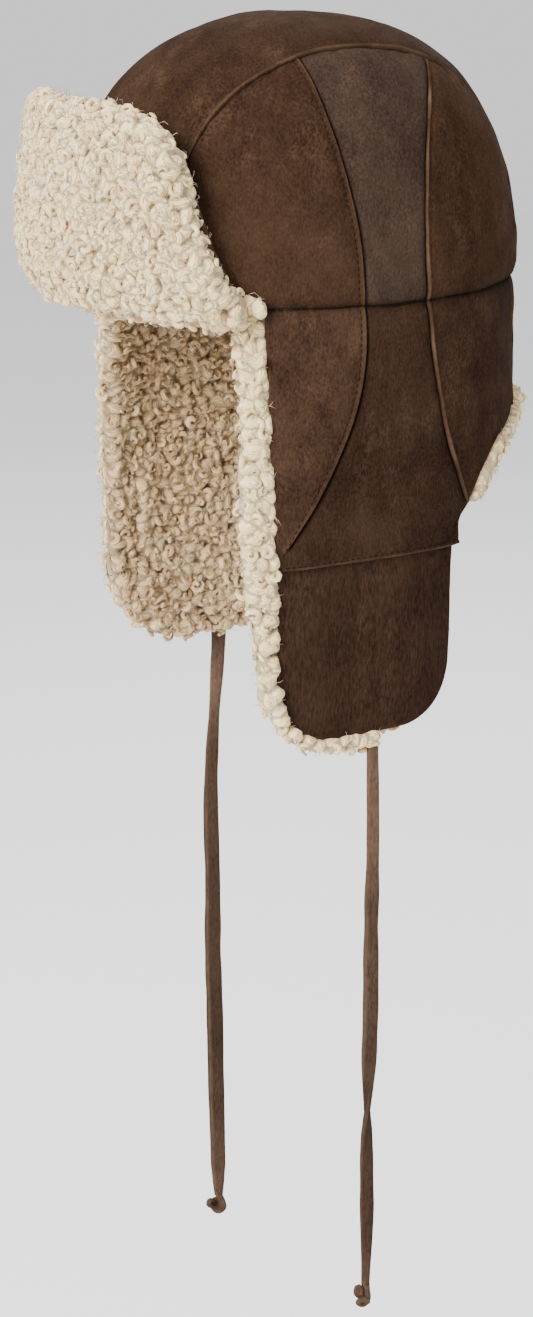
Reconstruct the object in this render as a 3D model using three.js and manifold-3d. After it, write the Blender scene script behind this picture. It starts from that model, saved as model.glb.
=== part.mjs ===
// A suede flying helmet: panelled crown, skirt, ear flaps, curly fleece lining, turned-up visor and two ties.
// Millimetres. Z is up, the face looks along -Y and the wearer's left is +X.
// The origin is the middle of the head hollow, at the height of the level seam round the head.
import * as THREE from 'three';
import Module from 'manifold-3d';
import { mergeVertices } from 'three/addons/utils/BufferGeometryUtils.js';

const wasm = await Module();
wasm.setup();

// Outside of the leather
const HALF_LENGTH = 112;
const HALF_WIDTH = 92;
const CROWN_HEIGHT = 121;
const STRIP_HALF_WIDTH = 54;
const NAPE_HALF_WIDTH = 47;
const HEM_DROP = 118;
const NAPE_DROP = 64;
const FLAP_DROP = 205;
const FLAP_FRONT = 51;
const FLAP_REAR = 44.5;
const FLAP_CORNER = 30;
const FLAP_TUCK = 8;
const HEM_FRONT = 51.5;
const HEM_REAR = 47;
const BROW_CORNER = 54;

// Layers
const LEATHER = 1.6;
const PANEL_PUFF = 0.9;
const SEAM_GAP = 0.4;
const LAYER_GAP = 0.6;
const PILE = 9.5;
const PILE_LIP = 14;
const HEM_LIP = 5;
const BROW_ROLL = 6.5;
const LOCK = 1.5;
// How much of the pile is left on the outermost row of an open edge, and on the row inside it
const EDGE_REACH = [0.5, 0.86];
// Degrees left free between the brow's roll of fleece and each ear lining
const CORNER_TURN = 1.2;
// The share of the lip that is left at the hem's height
const HEM_SHARE = 0.8;

// Visor
const VISOR_HEIGHT = 89;
const VISOR_FOOT = 3;
const VISOR_HALF_TURN = 58;
const VISOR_STAND = 6.5;
const VISOR_PILE = 12;
const VISOR_LIP = 3;
// How much of its stand the visor loses at its two ends
const VISOR_CLOSE = 0.5;

// Ties and their knots
const TIE_WIDTH = 7.4;
const TIE_THICKNESS = 2.6;
const TIE_STEP = 17;
const TIE_GAP = 0.3;
const TIE_INSET = 1;
const KNOT_WIDTH = 9.5;
const KNOT_HEIGHT = 10.5;
const KNOT_TAIL = 3;
// The knot's ball and bight as shares of its width, and the bight's lift as a share of its height
const KNOT = { thickness: 0.8, bight: 0.32, aside: 0.42, lift: 0.08 };

// How square the crown's upright sections are, and the level sections where the flaps hang flattest,
// at FLAT_DROP: 2 is an ellipse
const ROUNDNESS = { brow: 2.25, ear: 2.6, nape: 2.4 };
const FLATNESS = { brow: 2.9, nape: 2.25 };
const FLAT_DROP = 110;

// Half width of the centre strip along its turn from brow (0) over the top to nape (1),
// as shares of STRIP_HALF_WIDTH
const STRIP_ROWS = [
  { turn: 0, half: 1.02 },
  { turn: 0.25, half: 0.98 },
  { turn: 0.42, half: 1 },
  { turn: 0.55, half: 0.96 },
  { turn: 0.65, half: 0.87 },
  { turn: 0.76, half: 0.81 },
  { turn: 0.88, half: 0.82 },
  { turn: 1, half: 0.87 },
];

// Side seams above the level seam: rise is a share of the height where the seam meets the strip,
// along a share of HALF_LENGTH, and meets the turn where the seam ends on the strip
const UPPER_SEAMS = {
  front: {
    meets: 0.42,
    rows: [
      { rise: 0, along: -0.086 },
      { rise: 0.28, along: -0.109 },
      { rise: 0.52, along: -0.149 },
      { rise: 0.75, along: -0.188 },
      { rise: 0.92, along: -0.212 },
    ],
  },
  rear: {
    meets: 0.64,
    rows: [
      { rise: 0, along: 0.22 },
      { rise: 0.26, along: 0.205 },
      { rise: 0.45, along: 0.211 },
      { rise: 0.65, along: 0.24 },
      { rise: 0.82, along: 0.3 },
    ],
  },
};

// Side seams below the level seam: drop is a share of HEM_DROP, along a share of HALF_LENGTH
const LOWER_SEAMS = {
  front: [
    { drop: 0, along: -0.086 },
    { drop: 0.19, along: -0.08 },
    { drop: 0.38, along: -0.117 },
    { drop: 0.56, along: -0.19 },
    { drop: 0.73, along: -0.286 },
    { drop: 0.9, along: -0.407 },
  ],
  rear: [
    { drop: 0, along: 0.22 },
    { drop: 0.19, along: 0.248 },
    { drop: 0.38, along: 0.291 },
    { drop: 0.57, along: 0.345 },
    { drop: 0.72, along: 0.413 },
    { drop: 0.84, along: 0.466 },
  ],
};
// Where the front seam runs out on the flap's front edge, and the tip of the front panel above it,
// and where the rear seam runs out, all as shares of HEM_DROP
const SEAM_RUNOUT = 0.95;
const FRONT_TIP = 0.93;
const REAR_RUNOUT = 0.9;
// Corners of the upper side panels on the strip's edge
const PANEL_CORNER = { front: 0.24, rear: 0.76 };
// The free edge from the rear seam's end to the nape corner: drop is a share of HEM_DROP,
// along a share of HALF_LENGTH
const REAR_EDGE = [
  { drop: 0.72, along: 0.56 },
  { drop: 0.61, along: 0.68 },
];
// The foot of the nape's lining: on is the angle past its start, drop a share of HEM_DROP
const NAPE_ROWS = [
  { on: 0, drop: 1 },
  { on: 8, drop: 0.86 },
  { on: 18, drop: 0.66 },
];

// Facets of each piece across and down: the skirt's middle panel goes on below its two seams
const GRIDS = {
  strip: { columns: 8, rows: 24 },
  upper: { columns: 6, rows: 8 },
  skirtFront: { columns: 5, rows: 8 },
  skirtMiddle: { columns: 8, rows: 10 },
  skirtRear: { columns: 6, rows: 8 },
  nape: { columns: 8, rows: 5 },
  flap: { columns: 10, rows: 6 },
  liningEar: { columns: 10, rows: 18 },
  liningNape: { columns: 14, rows: 7 },
  liningCrown: { brow: 9, sides: 15, rows: 8 },
  visor: { leather: 18, fleece: 28 },
};

// The visor from foot to top: rise is a share of VISOR_HEIGHT, stand of VISOR_STAND
// and half of VISOR_HALF_TURN
const VISOR_ROWS = [
  { rise: 0, stand: 0, half: 1 },
  { rise: 0.05, stand: 0.03, half: 0.99 },
  { rise: 0.18, stand: 0.85, half: 0.925 },
  { rise: 0.34, stand: 1, half: 0.86 },
  { rise: 0.55, stand: 0.85, half: 0.8 },
  { rise: 0.75, stand: 0.5, half: 0.735 },
  { rise: 0.89, stand: 0.15, half: 0.64 },
  { rise: 1, stand: -0.2, half: 0.48 },
];

// Chosen points of each hanging tie: sway is its place along Y and drop its depth under the flap's lower edge
const TIE_ROUTES = {
  left: [
    { sway: -0.5, drop: 0 },
    { sway: -0.4, drop: 7 },
    { sway: 0.1, drop: 25 },
    { sway: 0.7, drop: 50 },
    { sway: 0.9, drop: 72 },
    { sway: 0.7, drop: 95 },
    { sway: 0.9, drop: 120 },
    { sway: 1.3, drop: 145 },
    { sway: 1.1, drop: 170 },
    { sway: 0.6, drop: 192 },
    { sway: 0.3, drop: 212 },
    { sway: 0.5, drop: 232 },
    { sway: 1, drop: 252 },
    { sway: 1.4, drop: 272 },
    { sway: 1.5, drop: 294 },
    { sway: 1.3, drop: 315 },
  ],
  right: [
    { sway: 2.4, drop: 0 },
    { sway: 2.2, drop: 8 },
    { sway: 0.9, drop: 28 },
    { sway: -0.9, drop: 52 },
    { sway: -2.6, drop: 78 },
    { sway: -3.5, drop: 104 },
    { sway: -3.3, drop: 128 },
    { sway: -2.8, drop: 150 },
    { sway: -2.9, drop: 174 },
    { sway: -3.1, drop: 200 },
    { sway: -2.5, drop: 226 },
    { sway: -2.1, drop: 254 },
    { sway: -1.9, drop: 284 },
    { sway: -1.4, drop: 312 },
    { sway: -1, drop: 340 },
    { sway: -0.8, drop: 367 },
  ],
};

const { lerp, smoothstep, degToRad, radToDeg } = THREE.MathUtils;

function material(color, roughness) {
  return new THREE.MeshStandardMaterial({ color, roughness, metalness: 0 });
}

const MATERIALS = {
  crown: material(0x4f3324, 0.85),
  middle: material(0x3f2a20, 0.85),
  skirt: material(0x3a261b, 0.85),
  flap: material(0x33211a, 0.85),
  fleece: material(0xdccdb2, 0.98),
  tie: material(0x4b3529, 0.88),
};

// The value of a column of a table at a place between its rows
function tableValue(rows, place, key, at) {
  const after = rows.findIndex((row) => row[place] >= at);
  if (after === 0) return rows[0][key];
  if (after < 0) return rows[rows.length - 1][key];
  const low = rows[after - 1];
  const high = rows[after];
  const share = (at - low[place]) / (high[place] - low[place]);
  return lerp(low[key], high[key], share);
}

// A steady value from -1 to 1 for a pair of whole numbers
function chance(column, row) {
  const wave = Math.sin(column * 127.1 + row * 311.7) * 43758.5453;
  return 2 * (wave - Math.floor(wave)) - 1;
}

// The outside of the helmet: an elliptical tube below the level seam and a rounded crown above it.
// fill is 1 on that surface and less inside it.
function fill(x, y, z) {
  const across = x / HALF_WIDTH;
  const along = y / HALF_LENGTH;
  if (z <= 0) {
    const flat = y < 0 ? FLATNESS.brow : FLATNESS.nape;
    const level = lerp(2, flat, smoothstep(-z, 0, FLAT_DROP));
    return (Math.abs(across) ** level + Math.abs(along) ** level) ** (1 / level);
  }
  const around = Math.hypot(across, along);
  const facing = around > 0 ? (along / around) ** 2 : 0;
  const end = along < 0 ? ROUNDNESS.brow : ROUNDNESS.nape;
  const power = lerp(ROUNDNESS.ear, end, facing);
  return (around ** power + (z / CROWN_HEIGHT) ** power) ** (1 / power);
}

function onShell(point) {
  const reach = fill(point.x, point.y, point.z);
  const z = point.z > 0 ? point.z / reach : point.z;
  return new THREE.Vector3(point.x / reach, point.y / reach, z);
}

function outward({ x, y, z }) {
  const step = 0.05;
  return new THREE.Vector3(
    fill(x + step, y, z) - fill(x - step, y, z),
    fill(x, y + step, z) - fill(x, y - step, z),
    fill(x, y, z + step) - fill(x, y, z - step),
  ).normalize();
}

// How far beyond the shell a point of it is looked for
const SEARCH_REACH = 1.5;

// The root of a rising function between 0 and most
function solve(rising, most) {
  let low = 0;
  let high = most;
  for (let pass = 0; pass < 40; pass += 1) {
    const middle = (low + high) / 2;
    if (rising(middle) > 0) high = middle;
    else low = middle;
  }
  return (low + high) / 2;
}

// A point of the crown at a distance across from the middle plane and a turn from brow to nape
function crownPoint(across, turn) {
  const y = -HALF_LENGTH * Math.cos(Math.PI * turn);
  const z = CROWN_HEIGHT * Math.sin(Math.PI * turn);
  const reach = solve((k) => fill(across, y * k, z * k) - 1, SEARCH_REACH);
  return new THREE.Vector3(across, y * reach, z * reach);
}

// A point of the wearer's left side at a place along Y and a height
function sidePoint(y, z) {
  const x = solve((value) => fill(value, y, z) - 1, HALF_WIDTH * SEARCH_REACH);
  return new THREE.Vector3(x, y, z);
}

// A point at an angle round the head: 0 is the left ear, -90 degrees the brow
function ringPoint(degrees, z) {
  const turn = degToRad(degrees);
  const point = new THREE.Vector3(HALF_WIDTH * Math.cos(turn), HALF_LENGTH * Math.sin(turn), z);
  return z < 0 ? onShell(point) : point;
}

function angleAlong(y) {
  return radToDeg(Math.asin(y / HALF_LENGTH));
}

const STRIP_CURVE = new THREE.SplineCurve(STRIP_ROWS.map(({ turn, half }) => new THREE.Vector2(turn, half)));

function stripEdge(turn, shift) {
  const along = solve((share) => STRIP_CURVE.getPoint(share).x - turn, 1);
  return crownPoint(STRIP_HALF_WIDTH * STRIP_CURVE.getPoint(along).y + shift, turn);
}

function curveThrough(points) {
  const curve = new THREE.CatmullRomCurve3(points, false, 'centripetal');
  return (share) => curve.getPointAt(share);
}

// A closed wall between two grids of points that match row by row
function wall(outer, inner, { around = false } = {}) {
  const rows = outer.length;
  const columns = outer[0].length;
  const points = [...outer.flat(), ...inner.flat()];
  const behind = rows * columns;
  const index = [];
  const same = (a, b) => points[a].distanceToSquared(points[b]) < 1e-10;
  const face = (a, b, c) => {
    if (!same(a, b) && !same(b, c) && !same(c, a)) index.push(a, b, c);
  };
  const quad = (a, b, c, d) => {
    face(a, b, c);
    face(a, c, d);
  };
  const at = (row, column) => row * columns + column;
  for (let row = 0; row + 1 < rows; row += 1) {
    for (let column = 0; column + 1 < columns; column += 1) {
      const corners = [at(row, column), at(row, column + 1), at(row + 1, column + 1), at(row + 1, column)];
      if ((row + column) % 2 === 0) corners.push(corners.shift());
      quad(...corners);
      quad(...[3, 2, 1, 0].map((corner) => corners[corner] + behind));
    }
  }
  const edge = (a, b) => quad(b, a, a + behind, b + behind);
  for (let column = 0; column + 1 < columns; column += 1) {
    edge(at(0, column), at(0, column + 1));
    edge(at(rows - 1, column + 1), at(rows - 1, column));
  }
  for (let row = 0; !around && row + 1 < rows; row += 1) {
    edge(at(row + 1, 0), at(row, 0));
    edge(at(row, columns - 1), at(row + 1, columns - 1));
  }
  const geometry = new THREE.BufferGeometry().setFromPoints(points);
  geometry.setIndex(index);
  return facingOut(mergeVertices(geometry, 1e-4));
}

function enclosedVolume(geometry) {
  const place = geometry.attributes.position;
  const corner = (number) => new THREE.Vector3().fromBufferAttribute(place, geometry.index.getX(number));
  let volume = 0;
  for (let number = 0; number < geometry.index.count; number += 3) {
    volume += corner(number).dot(corner(number + 1).cross(corner(number + 2))) / 6;
  }
  return volume;
}

function turnedOver(geometry) {
  const index = geometry.index.array;
  for (let number = 0; number < index.length; number += 3) {
    [index[number + 1], index[number + 2]] = [index[number + 2], index[number + 1]];
  }
  return geometry;
}

function facingOut(geometry) {
  return enclosedVolume(geometry) < 0 ? turnedOver(geometry) : geometry;
}

function mirrored(geometry) {
  return turnedOver(geometry.clone().scale(-1, 1, 1));
}

// Two edges end to end: the first takes a share of the whole
function joined(first, second, share) {
  return (at) => (at < share ? first(at / share) : second((at - share) / (1 - share)));
}

function grid(columns, rows, at) {
  return Array.from({ length: rows + 1 }, (_, row) =>
    Array.from({ length: columns + 1 }, (_, column) => at(column / columns, row / rows, column, row)),
  );
}

// A surface stretched between four edges, each a function from 0 to 1
function patch({ bottom, top, front, rear }) {
  const corners = [bottom(0), bottom(1), top(0), top(1)];
  return (u, v) => {
    const point = new THREE.Vector3();
    point.addScaledVector(bottom(u), 1 - v).addScaledVector(top(u), v);
    point.addScaledVector(front(v), 1 - u).addScaledVector(rear(v), u);
    point.addScaledVector(corners[0], -(1 - u) * (1 - v)).addScaledVector(corners[1], -u * (1 - v));
    point.addScaledVector(corners[2], -(1 - u) * v).addScaledVector(corners[3], -u * v);
    return onShell(point);
  };
}

// A leather panel over a surface, its outer face depth inside the shell and lifted between its seams
function panel(surface, { columns, rows }, { depth = 0, puff = PANEL_PUFF } = {}) {
  const lift = (u, v) => puff * (1 - (2 * u - 1) ** 4) * (1 - (2 * v - 1) ** 4);
  const layer = (below) =>
    grid(columns, rows, (u, v) => {
      const point = surface(u, v);
      return point.addScaledVector(outward(point), lift(u, v) - below);
    });
  return wall(layer(depth), layer(depth + LEATHER));
}

const HALF_SEAM = SEAM_GAP / 2;

function crownStrip() {
  const start = crownStart(HALF_SEAM);
  const surface = (u, v) => {
    const turn = lerp(start, 1 - start, v);
    const half = stripEdge(turn, -HALF_SEAM).x;
    return crownPoint(lerp(-half, half, u), turn);
  };
  return panel(surface, GRIDS.strip);
}

// The turn at which the middle of the crown is a small height above the level seam
function crownStart(height) {
  return Math.asin(height / CROWN_HEIGHT) / Math.PI;
}

// The turn at which a seam ends on the strip, set aside by shift along Y
function seamTurn({ meets }, shift) {
  return meets + shift / HALF_LENGTH / Math.PI;
}

// One of the two seams of a side above the level seam, set aside by shift along Y
function upperSeam(seam, shift) {
  const end = stripEdge(seamTurn(seam, shift), HALF_SEAM);
  const points = seam.rows.map(({ rise, along }) => {
    const height = Math.max(rise * end.z, HALF_SEAM);
    return sidePoint(along * HALF_LENGTH + shift, height);
  });
  return curveThrough([...points, end]);
}

function levelEdge(fromDegrees, toDegrees, z) {
  return (share) => ringPoint(lerp(fromDegrees, toDegrees, share), z);
}

function stripStretch(fromTurn, toTurn) {
  return (share) => stripEdge(lerp(fromTurn, toTurn, share), HALF_SEAM);
}

function upperPanels() {
  const start = crownStart(HALF_SEAM);
  const seamAngle = (seam, shift) => angleAlong(seam.rows[0].along * HALF_LENGTH + shift);
  const { front, rear } = UPPER_SEAMS;
  const brow = stripEdge(start, HALF_SEAM);
  const nape = stripEdge(1 - start, HALF_SEAM);
  return {
    crown_front: panel(
      patch({
        bottom: levelEdge(angleAlong(brow.y), seamAngle(front, -HALF_SEAM), HALF_SEAM),
        top: stripStretch(PANEL_CORNER.front, seamTurn(front, -HALF_SEAM)),
        front: stripStretch(start, PANEL_CORNER.front),
        rear: upperSeam(front, -HALF_SEAM),
      }),
      GRIDS.upper,
    ),
    crown_middle: panel(
      patch({
        bottom: levelEdge(seamAngle(front, HALF_SEAM), seamAngle(rear, -HALF_SEAM), HALF_SEAM),
        top: stripStretch(seamTurn(front, HALF_SEAM), seamTurn(rear, -HALF_SEAM)),
        front: upperSeam(front, HALF_SEAM),
        rear: upperSeam(rear, -HALF_SEAM),
      }),
      GRIDS.upper,
    ),
    crown_rear: panel(
      patch({
        bottom: levelEdge(seamAngle(rear, HALF_SEAM), angleAlong(nape.y), HALF_SEAM),
        top: stripStretch(seamTurn(rear, HALF_SEAM), PANEL_CORNER.rear),
        front: upperSeam(rear, HALF_SEAM),
        rear: stripStretch(1 - start, PANEL_CORNER.rear),
      }),
      GRIDS.upper,
    ),
  };
}

// The front edge of a flap slants back a little from the brow corner to the hem
function frontEdge(drop) {
  return -lerp(BROW_CORNER, HEM_FRONT, drop);
}

function dropPoint(y, drop) {
  return sidePoint(y, -Math.max(drop * HEM_DROP, HALF_SEAM));
}

function seamPoints(rows, shift) {
  return rows.map(({ drop, along }) => dropPoint(along * HALF_LENGTH + shift, drop));
}

function skirtPanels() {
  const { front, rear } = LOWER_SEAMS;
  const top = -HALF_SEAM;
  const frontAngle = angleAlong(front[0].along * HALF_LENGTH);
  const rearAngle = angleAlong(rear[0].along * HALF_LENGTH);
  const gapAngle = angleAlong(HALF_SEAM);
  const frontSeam = seamPoints(front, -HALF_SEAM);
  const middleFront = seamPoints(front, HALF_SEAM);
  const middleRear = seamPoints(rear, -HALF_SEAM);
  const rearSeam = seamPoints(rear, HALF_SEAM);
  const frontTip = dropPoint(frontEdge(FRONT_TIP), FRONT_TIP);
  const runout = dropPoint(frontEdge(SEAM_RUNOUT), SEAM_RUNOUT);
  const rearEdge = [rearSeam[rearSeam.length - 1], ...seamPoints(REAR_EDGE, 0), napePoint(1, HALF_SEAM, 1)];
  const hem = [-HEM_FRONT, -HEM_FRONT / 2, 0, HEM_REAR / 2, HEM_REAR].map((y) => dropPoint(y, 1));
  const frontRunout = [middleFront[middleFront.length - 1], runout, hem[0]];
  const rearRunout = [middleRear[middleRear.length - 1], dropPoint(HEM_REAR, REAR_RUNOUT), hem[hem.length - 1]];
  const seamShare = GRIDS.skirtFront.rows / GRIDS.skirtMiddle.rows;
  const flat = { puff: PANEL_PUFF / 2 };
  return {
    skirt_front: panel(
      patch({
        bottom: levelEdge(angleAlong(frontEdge(0)), frontAngle - gapAngle, top),
        top: curveThrough([frontTip, frontSeam[frontSeam.length - 1]]),
        front: curveThrough([dropPoint(frontEdge(0), 0), frontTip]),
        rear: curveThrough(frontSeam),
      }),
      GRIDS.skirtFront,
      flat,
    ),
    skirt_middle: panel(
      patch({
        bottom: levelEdge(frontAngle + gapAngle, rearAngle - gapAngle, top),
        top: curveThrough(hem),
        front: joined(curveThrough(middleFront), curveThrough(frontRunout), seamShare),
        rear: joined(curveThrough(middleRear), curveThrough(rearRunout), seamShare),
      }),
      GRIDS.skirtMiddle,
      flat,
    ),
    skirt_rear: panel(
      patch({
        bottom: levelEdge(rearAngle + gapAngle, angleAlong(napePoint(1, HALF_SEAM, 0).y), top),
        top: curveThrough(rearEdge),
        front: curveThrough(rearSeam),
        rear: (share) => napePoint(1, HALF_SEAM, share),
      }),
      GRIDS.skirtRear,
      flat,
    ),
  };
}

// A point of the back below the level seam: across runs from -1 to 1, and drop from the seam to the nape hem
function napePoint(across, shift, drop) {
  const x = across * (NAPE_HALF_WIDTH + shift);
  const z = -lerp(HALF_SEAM, NAPE_DROP, drop);
  return new THREE.Vector3(x, solve((y) => fill(x, y, z) - 1, HALF_LENGTH * SEARCH_REACH), z);
}

function napePanel() {
  return panel((u, v) => napePoint(2 * u - 1, -HALF_SEAM, v), GRIDS.nape, { puff: PANEL_PUFF / 2 });
}

// The height of a flap's lower edge, from y = -front to y = rear, rounded at both corners
function flapFoot(y, { front, rear, drop, frontCorner, rearCorner }) {
  const rounded = (past, corner) => (past > 0 ? corner - Math.sqrt(Math.max(corner ** 2 - past ** 2, 0)) : 0);
  return rounded(frontCorner - front - y, frontCorner) + rounded(y - rear + rearCorner, rearCorner) - drop;
}

// Shares that crowd towards both ends
const CROWDING = 0.75;

function crowded(share) {
  return lerp(share, (1 - Math.cos(Math.PI * share)) / 2, CROWDING);
}

function earFlap() {
  const surface = (u, v) => {
    const y = lerp(-FLAP_FRONT, FLAP_REAR, crowded(u));
    const foot = flapFoot(y, {
      front: FLAP_FRONT,
      rear: FLAP_REAR,
      drop: FLAP_DROP,
      frontCorner: FLAP_CORNER,
      rearCorner: FLAP_CORNER,
    });
    return sidePoint(y, lerp(FLAP_TUCK - HEM_DROP, foot, v));
  };
  return panel(surface, GRIDS.flap, { depth: LEATHER + LAYER_GAP, puff: 0 });
}

// Fleece: how much of the pile is left near its edges, and the locks that stand out of it
function pileShare(column, columns, row, rows, open) {
  const left = open.front ? (EDGE_REACH[column] ?? 1) : 1;
  const right = open.rear ? (EDGE_REACH[columns - column] ?? 1) : 1;
  const foot = open.foot ? (EDGE_REACH[rows - row] ?? 1) : 1;
  const head = open.head ? (EDGE_REACH[row] ?? 1) : 1;
  return left * right * foot * head;
}

function lock(column, row) {
  const raised = (column + row) % 2 === 0 ? 1 : -1;
  return LOCK * (0.6 * raised + 0.4 * chance(column, row));
}

// How deep the lining's skin lies: it steps in behind the tucked top of each ear flap
function skinDepth(z) {
  const layer = LEATHER + LAYER_GAP;
  const tuck = HEM_DROP - FLAP_TUCK;
  return layer + (layer + TIE_GAP) * smoothstep(-z, tuck - 2 * FLAP_TUCK, tuck - TIE_GAP);
}

// A fleece lining over a surface: a plain skin outside and locks of pile inside
function fleece(surface, { columns, rows }, open, around = false) {
  const skin = grid(columns, rows, (u, v) => {
    const point = surface(u, v);
    return point.addScaledVector(outward(point), -skinDepth(point.z));
  });
  const pile = grid(columns, rows, (u, v, column, row) => {
    const point = surface(u, v);
    const pole = around && row === rows;
    const place = pole || (around && column === columns) ? 0 : column;
    const share = pileShare(column, columns, row, rows, open);
    const thick = share * (PILE + lock(place, row));
    return point.addScaledVector(outward(point), -skinDepth(point.z) - thick);
  });
  return wall(skin, pile, { around });
}

const LINING_FRONT = BROW_CORNER + PILE_LIP;

function liningFront(drop) {
  return -lerp(LINING_FRONT, HEM_FRONT + HEM_SHARE * PILE_LIP, Math.min(drop, 1));
}

function liningEar() {
  const rear = FLAP_REAR;
  const surface = (u, v) => {
    const share = crowded(u);
    const foot = flapFoot(lerp(liningFront(1), rear, share), {
      front: -liningFront(1),
      rear,
      drop: FLAP_DROP + HEM_LIP,
      frontCorner: FLAP_CORNER + PILE_LIP,
      rearCorner: FLAP_CORNER + HEM_LIP,
    });
    const z = lerp(-HALF_SEAM, foot, v);
    return sidePoint(lerp(liningFront(-z / HEM_DROP), rear, share), z);
  };
  return fleece(surface, GRIDS.liningEar, { front: true, foot: true });
}

// The lining of the back, from one ear lining round to the other, past the hem by its lip
function liningNape() {
  const startAngle = angleAlong(FLAP_REAR + SEAM_GAP);
  const rows = [
    ...NAPE_ROWS.map(({ on, drop }) => ({ turn: startAngle + on, drop: HEM_DROP * drop })),
    { turn: angleAlong(napePoint(1, 0, 0).y), drop: NAPE_DROP + HEM_LIP },
    { turn: 90, drop: NAPE_DROP + HEM_LIP },
  ];
  const surface = (u, v) => {
    const degrees = lerp(startAngle, 180 - startAngle, u);
    const foot = tableValue(rows, 'turn', 'drop', degrees > 90 ? 180 - degrees : degrees);
    return ringPoint(degrees, -lerp(HALF_SEAM, foot, v));
  };
  return fleece(surface, GRIDS.liningNape, { foot: true });
}

// The lining of the crown: its rim drops in a roll across the brow and stops at the level seam elsewhere
function liningCrown() {
  const corner = -angleAlong(LINING_FRONT + SEAM_GAP);
  const { brow, sides, rows } = GRIDS.liningCrown;
  const browStart = -180 - corner + CORNER_TURN;
  const browEnd = corner - CORNER_TURN;
  const turns = [
    ...Array.from({ length: brow + 1 }, (_, step) => lerp(browStart, browEnd, step / brow)),
    ...Array.from({ length: sides + 1 }, (_, step) => lerp(corner, 180 - corner, step / sides)),
    browStart + 360,
  ];
  const last = turns.length - 1;
  const surface = (u, v) => {
    const column = Math.round(u * last);
    const rolled = column <= brow || column === last;
    const low = ringPoint(turns[column], rolled ? -BROW_ROLL : HALF_SEAM);
    const lift = Math.sin((Math.PI / 2) * v);
    const spread = v === 1 ? 0 : Math.cos((Math.PI / 2) * v);
    return v === 0 ? low : onShell(new THREE.Vector3(low.x * spread, low.y * spread, CROWN_HEIGHT * lift));
  };
  return fleece(surface, { columns: last, rows }, {}, true);
}

// The visor: a surface standing off the crown's front, with across from -1 to 1
// and rise from its foot to its top
function visorPoint(across, rise, stand, lip) {
  const half = VISOR_HALF_TURN * tableValue(VISOR_ROWS, 'rise', 'half', rise);
  const turn = half + radToDeg(lip / HALF_LENGTH);
  const lean = VISOR_STAND * tableValue(VISOR_ROWS, 'rise', 'stand', rise);
  const close = 1 - VISOR_CLOSE * Math.abs(across) ** 3;
  const angle = degToRad(-90 + across * turn);
  const off = (lean > 0 ? lean * close : lean) + stand;
  const x = (HALF_WIDTH + off) * Math.cos(angle);
  const y = (HALF_LENGTH + off) * Math.sin(angle);
  return new THREE.Vector3(x, y, rise * VISOR_HEIGHT - VISOR_FOOT);
}

function visorLeather() {
  const rows = VISOR_ROWS.length - 1;
  const place = (stand) => (u, v, column, row) => visorPoint(2 * u - 1, VISOR_ROWS[row].rise, stand, 0);
  const layer = (stand) => grid(GRIDS.visor.leather, rows, place(stand));
  return wall(layer(LAYER_GAP), layer(LAYER_GAP + LEATHER));
}

// The fleece has a row at each row of the leather and between them, and one past its foot and its top
function visorFleece() {
  const columns = GRIDS.visor.fleece;
  const between = VISOR_ROWS.slice(1).map(({ rise }, row) => (VISOR_ROWS[row].rise + rise) / 2);
  const foot = (VISOR_FOOT - BROW_ROLL) / VISOR_HEIGHT;
  const head = 1 + VISOR_LIP / VISOR_HEIGHT;
  const rises = [foot, ...VISOR_ROWS.map(({ rise }) => rise), ...between, head].sort((a, b) => a - b);
  const rows = rises.length - 1;
  const skin = LAYER_GAP + LEATHER + LAYER_GAP;
  const back = grid(columns, rows, (u, v, column, row) => visorPoint(2 * u - 1, rises[row], skin, VISOR_LIP));
  const open = { front: true, rear: true, foot: true, head: true };
  const pile = grid(columns, rows, (u, v, column, row) => {
    const thick = pileShare(column, columns, row, rows, open) * (VISOR_PILE + lock(column, row));
    return visorPoint(2 * u - 1, rises[row], skin + thick, VISOR_LIP);
  });
  return wall(pile, back);
}

// Where a tie hangs: just outside the fleece, under the middle of the flap's lower edge
const TIE_DEPTH = LEATHER + LAYER_GAP + LEATHER / 2 - TIE_THICKNESS / 2 + TIE_INSET;

function tieRoute(side) {
  const reach = HALF_WIDTH - TIE_DEPTH;
  const x = side === 'left' ? reach : -reach;
  const top = -FLAP_DROP - TIE_GAP;
  return TIE_ROUTES[side].map(({ sway, drop }) => new THREE.Vector3(x, sway, top - drop));
}

function tie(side) {
  const route = new THREE.CatmullRomCurve3(tieRoute(side));
  const section = new THREE.Shape();
  const sides = 8;
  for (let number = 0; number < sides; number += 1) {
    const angle = (2 * Math.PI * (number + 0.5)) / sides;
    const square = 1 / Math.cos(Math.PI / sides);
    const x = (TIE_THICKNESS / 2) * Math.cos(angle) * square;
    const y = (TIE_WIDTH / 2) * Math.sin(angle) * square;
    if (number === 0) section.moveTo(x, y);
    else section.lineTo(x, y);
  }
  const steps = Math.round(route.getLength() / TIE_STEP);
  return new THREE.ExtrudeGeometry(section, { steps, extrudePath: route, bevelEnabled: false });
}

function solidFrom(geometry) {
  const plain = geometry.clone();
  plain.deleteAttribute('normal');
  plain.deleteAttribute('uv');
  const merged = mergeVertices(plain, 1e-4);
  const mesh = new wasm.Mesh({
    numProp: 3,
    vertProperties: merged.attributes.position.array,
    triVerts: new Uint32Array(merged.index.array),
  });
  return new wasm.Manifold(mesh);
}

function geometryFrom(solid) {
  const mesh = solid.getMesh();
  const geometry = new THREE.BufferGeometry();
  geometry.setAttribute('position', new THREE.Float32BufferAttribute(mesh.vertProperties, 3));
  geometry.setIndex([...mesh.triVerts]);
  return geometry;
}

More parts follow.
